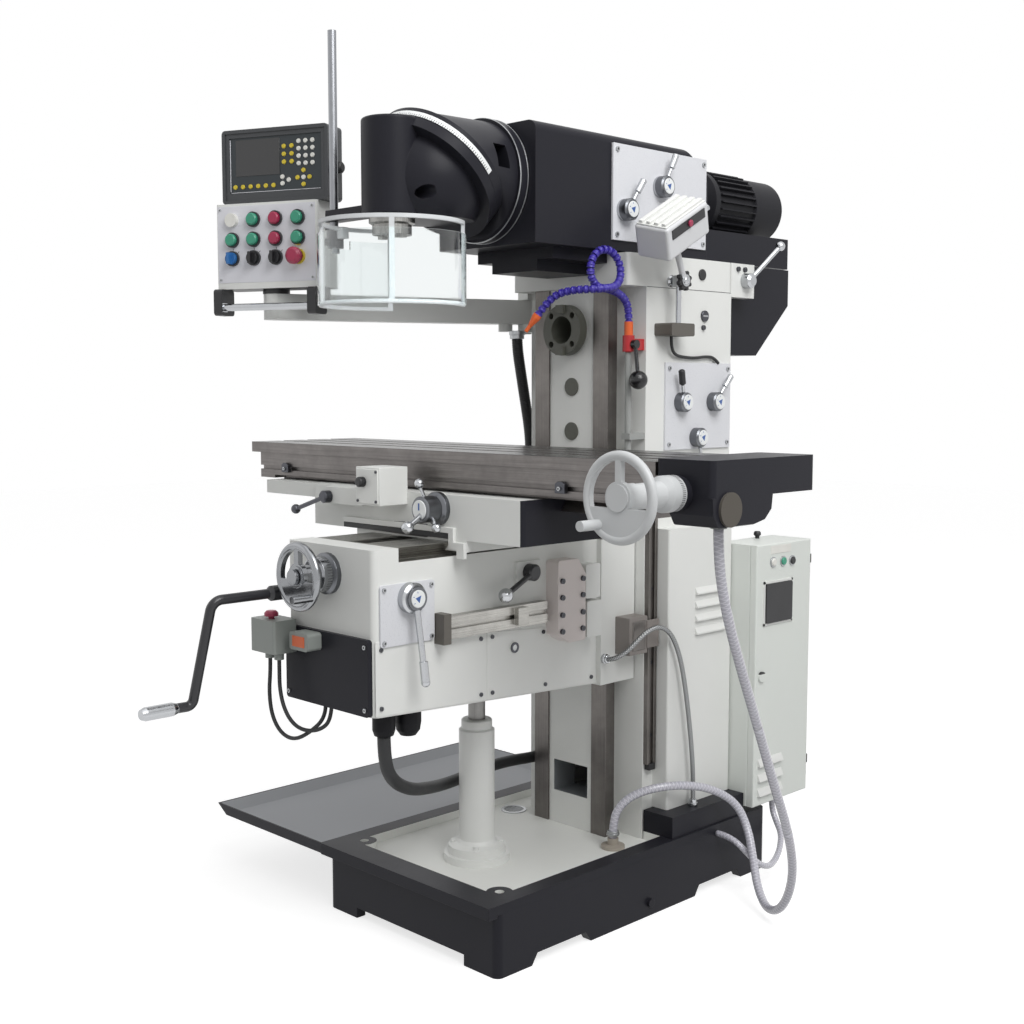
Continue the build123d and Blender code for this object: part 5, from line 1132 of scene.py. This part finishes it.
def crossed(tree, pitch, starts):
    """Two sets of slanted waves, a pitch apart along a hose, that cross by the hose's own map."""
    along = add(tree, "ShaderNodeUVMap", uv_map="along")
    run = add(tree, "ShaderNodeSeparateXYZ", {"Vector": along.outputs[0]})
    waves = []
    for way in (starts, -starts):
        turned = add(tree, "ShaderNodeMath", {0: run.outputs["X"], 1: way}, operation="MULTIPLY")
        slant = add(tree, "ShaderNodeMath", {0: run.outputs["Y"], 1: 1 / pitch, 2: turned.outputs[0]},
                    operation="MULTIPLY_ADD")
        wave = add(tree, "ShaderNodeMath", {0: slant.outputs[0], 1: 1.0}, operation="PINGPONG")
        waves.append(wave.outputs[0])
    return waves


def braid_metal(name, colour):
    """Woven wire sleeve: two sets of wires 3.5 mm apart that cross at a slant."""
    made, tree = empty_material(name)
    waves = crossed(tree, 0.0035, 12.0)
    weave = add(tree, "ShaderNodeMath", {0: waves[0], 1: waves[1]}, operation="MULTIPLY")
    shade = add(tree, "ShaderNodeMix",
                {0: weave.outputs[0], 6: darker(colour, 0.25), 7: linear(colour)}, data_type="RGBA")
    bump = add(tree, "ShaderNodeBump", {"Height": weave.outputs[0], "Distance": 0.0008})
    shader = add(tree, "ShaderNodeBsdfPrincipled",
                 {"Base Color": shade.outputs[2], "Roughness": 0.34, "Metallic": 1.0,
                  "Normal": bump.outputs[0]})
    add(tree, "ShaderNodeOutputMaterial", {"Surface": shader.outputs[0]})
    return made


def braid_clear(name, body, thread):
    """Clear soft tube with a net of pale threads 5 mm apart in its wall, milky over the coolant inside."""
    made, tree = empty_material(name)
    lines = []
    for wave in crossed(tree, 0.005, 4.0):
        lines.append(add(tree, "ShaderNodeMath", {0: wave, 1: 0.2}, operation="LESS_THAN").outputs[0])
    net = add(tree, "ShaderNodeMath", {0: lines[0], 1: lines[1]}, operation="MAXIMUM")
    shade = add(tree, "ShaderNodeMix", {0: net.outputs[0], 6: linear(body), 7: linear(thread)},
                data_type="RGBA")
    shader = add(tree, "ShaderNodeBsdfPrincipled",
                 {"Base Color": shade.outputs[2], "Roughness": 0.22, "Subsurface Weight": 0.25,
                  "Subsurface Radius": (0.004, 0.004, 0.004), "Subsurface Scale": 1.0, "Coat Weight": 0.4})
    add(tree, "ShaderNodeOutputMaterial", {"Surface": shader.outputs[0]})
    return made


def lay_hose(name, route, diameter, finish, body, other=None, rib=None):
    """A hose along its route at its width; on one body it rides on it, and between two bodies it is left in
    place.
    """
    points = line_points(name, route)
    made = hose(name, points, diameter / 2, finish, rib=rib)
    if other:
        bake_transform(made)
    else:
        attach(made, body)
    return made


def lay_cable(name, route, diameter, body):
    """A plain round cable: the curve itself with a round section."""
    made = spline(name, route, diameter / 2)
    made.data.materials.append(rubber)
    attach(made, body)


def coolant_hose():
    """Segmented ball-and-socket hose that holds its loop."""
    points = line_points("coolant_hose", COOLANT)
    line = spline("segmented_coolant_hose", COOLANT)
    tree = segment_tree("Ball-and-socket segments", violet_plastic)
    mesh = settle(line, tree, {"Pitch": 0.015, "Ball": 0.020, "Neck": 0.013})
    bpy.data.objects.remove(line)
    mesh.shade_smooth()
    mesh.set_sharp_from_angle(angle=radians(50))
    made = put("segmented_coolant_hose", mesh)
    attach(made, "frame")
    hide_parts("coolant_hose")


def drain_tube(finish):
    """Drain tube in three lengths end to end, cut where the route passes below two heights; each is left in
    place.
    """
    points = line_points("drain_tube", DRAIN)
    cuts = [0, len(points) - 1]
    for level in (DRAIN[4][2], DRAIN[6][2]):
        cuts.insert(-1, next(k for k, point in enumerate(points) if point.z < level))
    # Where the low length's loop turns up, beside the loop's bottom
    loop_turn = (0.449, 0.131, 0.108)
    lengths = (("drain_tube", "table", "saddle", DRAIN[1], DRAIN[4], 0.509),
               ("drain_tube_middle", "saddle", "knee", DRAIN[4], DRAIN[6], 0.342),
               ("drain_tube_low", "knee", "frame", DRAIN[6], loop_turn, 1.098))
    for k, (name, body, other, start, end, length) in enumerate(lengths):
        run = points[cuts[k]:cuts[k + 1] + 1]
        made = hose(name, run, 0.0105, finish)
        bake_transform(made)
        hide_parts("drain_hose")


def ferrule(name, centre, axis, bore, high, finish, body):
    """Ring nut where a hose ends: a collar with a stepped nose."""
    bm = bmesh.new()
    middle = high / 2
    profile = ((0, 0), (0.0045, 0), (0.006, 0.0015), (0.006, middle), (0.004, middle + 0.001),
               (0.004, high - 0.001), (0.003, high), (0, high), (0, 0))
    lathe(bm, [(bore + wall, reach) for wall, reach in profile], centre, axis, sides=24)
    piece(name, bm, [finish], body, angle=30)


def hoses():
    """All hoses and cables with their end fittings."""
    clear_braid = braid_clear("Clear braided tube", "#b4b3bd", "#cfced6")
    wire_braid = braid_metal("Woven steel sleeve", "#c9cbcc")
    coolant_hose()
    drain_tube(clear_braid)
    pump = lay_hose("pump_tube", PUMP, 0.016, clear_braid, "frame")
    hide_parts("hoses_and_cables")
    lay_cable("lamp_cable", LAMP_CABLE, 0.008, "frame")
    lay_hose("arm_conduit", ARM_CONDUIT, 0.030, rubber, "arm", "frame",
             rib=(0.006, 0.0012))
    conduit = lay_hose("knee_conduit", KNEE_CONDUIT, 0.030, rubber, "knee", "frame")
    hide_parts("knee_hoses")
    lay_hose("braided_hose", BRAIDED, 0.012, wire_braid, "knee", "frame")
    lay_cable("button_cable", BUTTON_CABLE, 0.009, "knee")
    lay_cable("switch_cable", SWITCH_CABLE, 0.009, "knee")
    ferrule("arm_conduit_nut", (-0.216, 0.070, 1.461), (0, 0, -1), 0.0155, 0.022, tinned, "arm")
    ferrule("braided_hose_knee_nut", (0.1705, -0.009, 0.634), RIGHT, 0.0062, 0.016, chrome_steel, "knee")
    ferrule("braided_hose_column_nut", BRAIDED[-1], UP, 0.0062, 0.018, chrome_steel, "frame")
    ferrule("drain_tube_clip", (0.191, 0.008, 0.181), UP, 0.0106, 0.012, tinned, "frame")


# Stage, light and camera

def seen_directly(tree):
    """1 for rays from the camera and for what mirrors and glass show, else 0."""
    path = add(tree, "ShaderNodeLightPath")
    seen = add(tree, "ShaderNodeMath", {0: path.outputs["Is Camera Ray"], 1: path.outputs["Is Glossy Ray"]},
               operation="MAXIMUM")
    return add(tree, "ShaderNodeMath", {0: seen.outputs[0], 1: path.outputs["Is Transmission Ray"]},
               operation="MAXIMUM").outputs[0]


def studio():
    """Floor that shows white and keeps the shadow, white surroundings and three soft lights."""
    bm = bmesh.new()
    bmesh.ops.create_grid(bm, x_segments=1, y_segments=1, size=14)
    mesh = bpy.data.meshes.new("studio_floor")
    bm.to_mesh(mesh)
    bm.free()
    floor = put("studio_floor", mesh)
    paper, tree = empty_material("White studio paper")
    glow = add(tree, "ShaderNodeMath", {0: seen_directly(tree), 1: FLOOR_GLOW}, operation="MULTIPLY")
    shader = add(tree, "ShaderNodeBsdfPrincipled",
                 {"Base Color": linear("#bcbcbc"), "Roughness": 0.9, "Emission Color": (1, 1, 1, 1),
                  "Emission Strength": glow.outputs[0]})
    add(tree, "ShaderNodeOutputMaterial", {"Surface": shader.outputs[0]})
    mesh.materials.append(paper)
    world = bpy.data.worlds.new("white studio")
    bpy.context.scene.world = world
    world.use_nodes = True
    tree = world.node_tree
    tree.nodes.clear()
    strength = add(tree, "ShaderNodeMapRange",
                   {"Value": seen_directly(tree), "To Min": ROOM_LIGHT, "To Max": 1.0})
    white = add(tree, "ShaderNodeBackground", {"Color": (1, 1, 1, 1), "Strength": strength.outputs[0]})
    add(tree, "ShaderNodeOutputWorld", {"Surface": white.outputs[0]})
    lamps = (("key", (3.2, -1.0, 4.0), 2.5, 132), ("fill", (-3.0, -3.0, 2.5), 3.0, 10),
             ("top", (0.5, -0.5, 4.5), 4.0, 30))
    for name, place, size, power in lamps:
        light = bpy.data.lights.new(name, "AREA")
        light.size = size
        light.energy = power
        lamp = put(name, light)
        lamp.location = place
        lamp.rotation_euler = (Vector((0, 0, 1.0)) - Vector(place)).to_track_quat("-Z", "Y").to_euler()


def viewpoint():
    """Camera as in the photograph."""
    lens = bpy.data.cameras.new("view")
    lens.lens = 47.57
    lens.sensor_width = 36
    camera = put("view", lens)
    camera.location = (2.383, -2.521, 1.312)
    camera.rotation_euler = (radians(84.7), 0, radians(45.3))
    bpy.context.scene.camera = camera


base_and_tube()
column_group()
cabinet()
knee_group()
table_group()
levers()
ram_and_head()
station()
lamp_and_valve()
hoses()
studio()
viewpoint()
bpy.context.scene.view_settings.view_transform = "Standard"
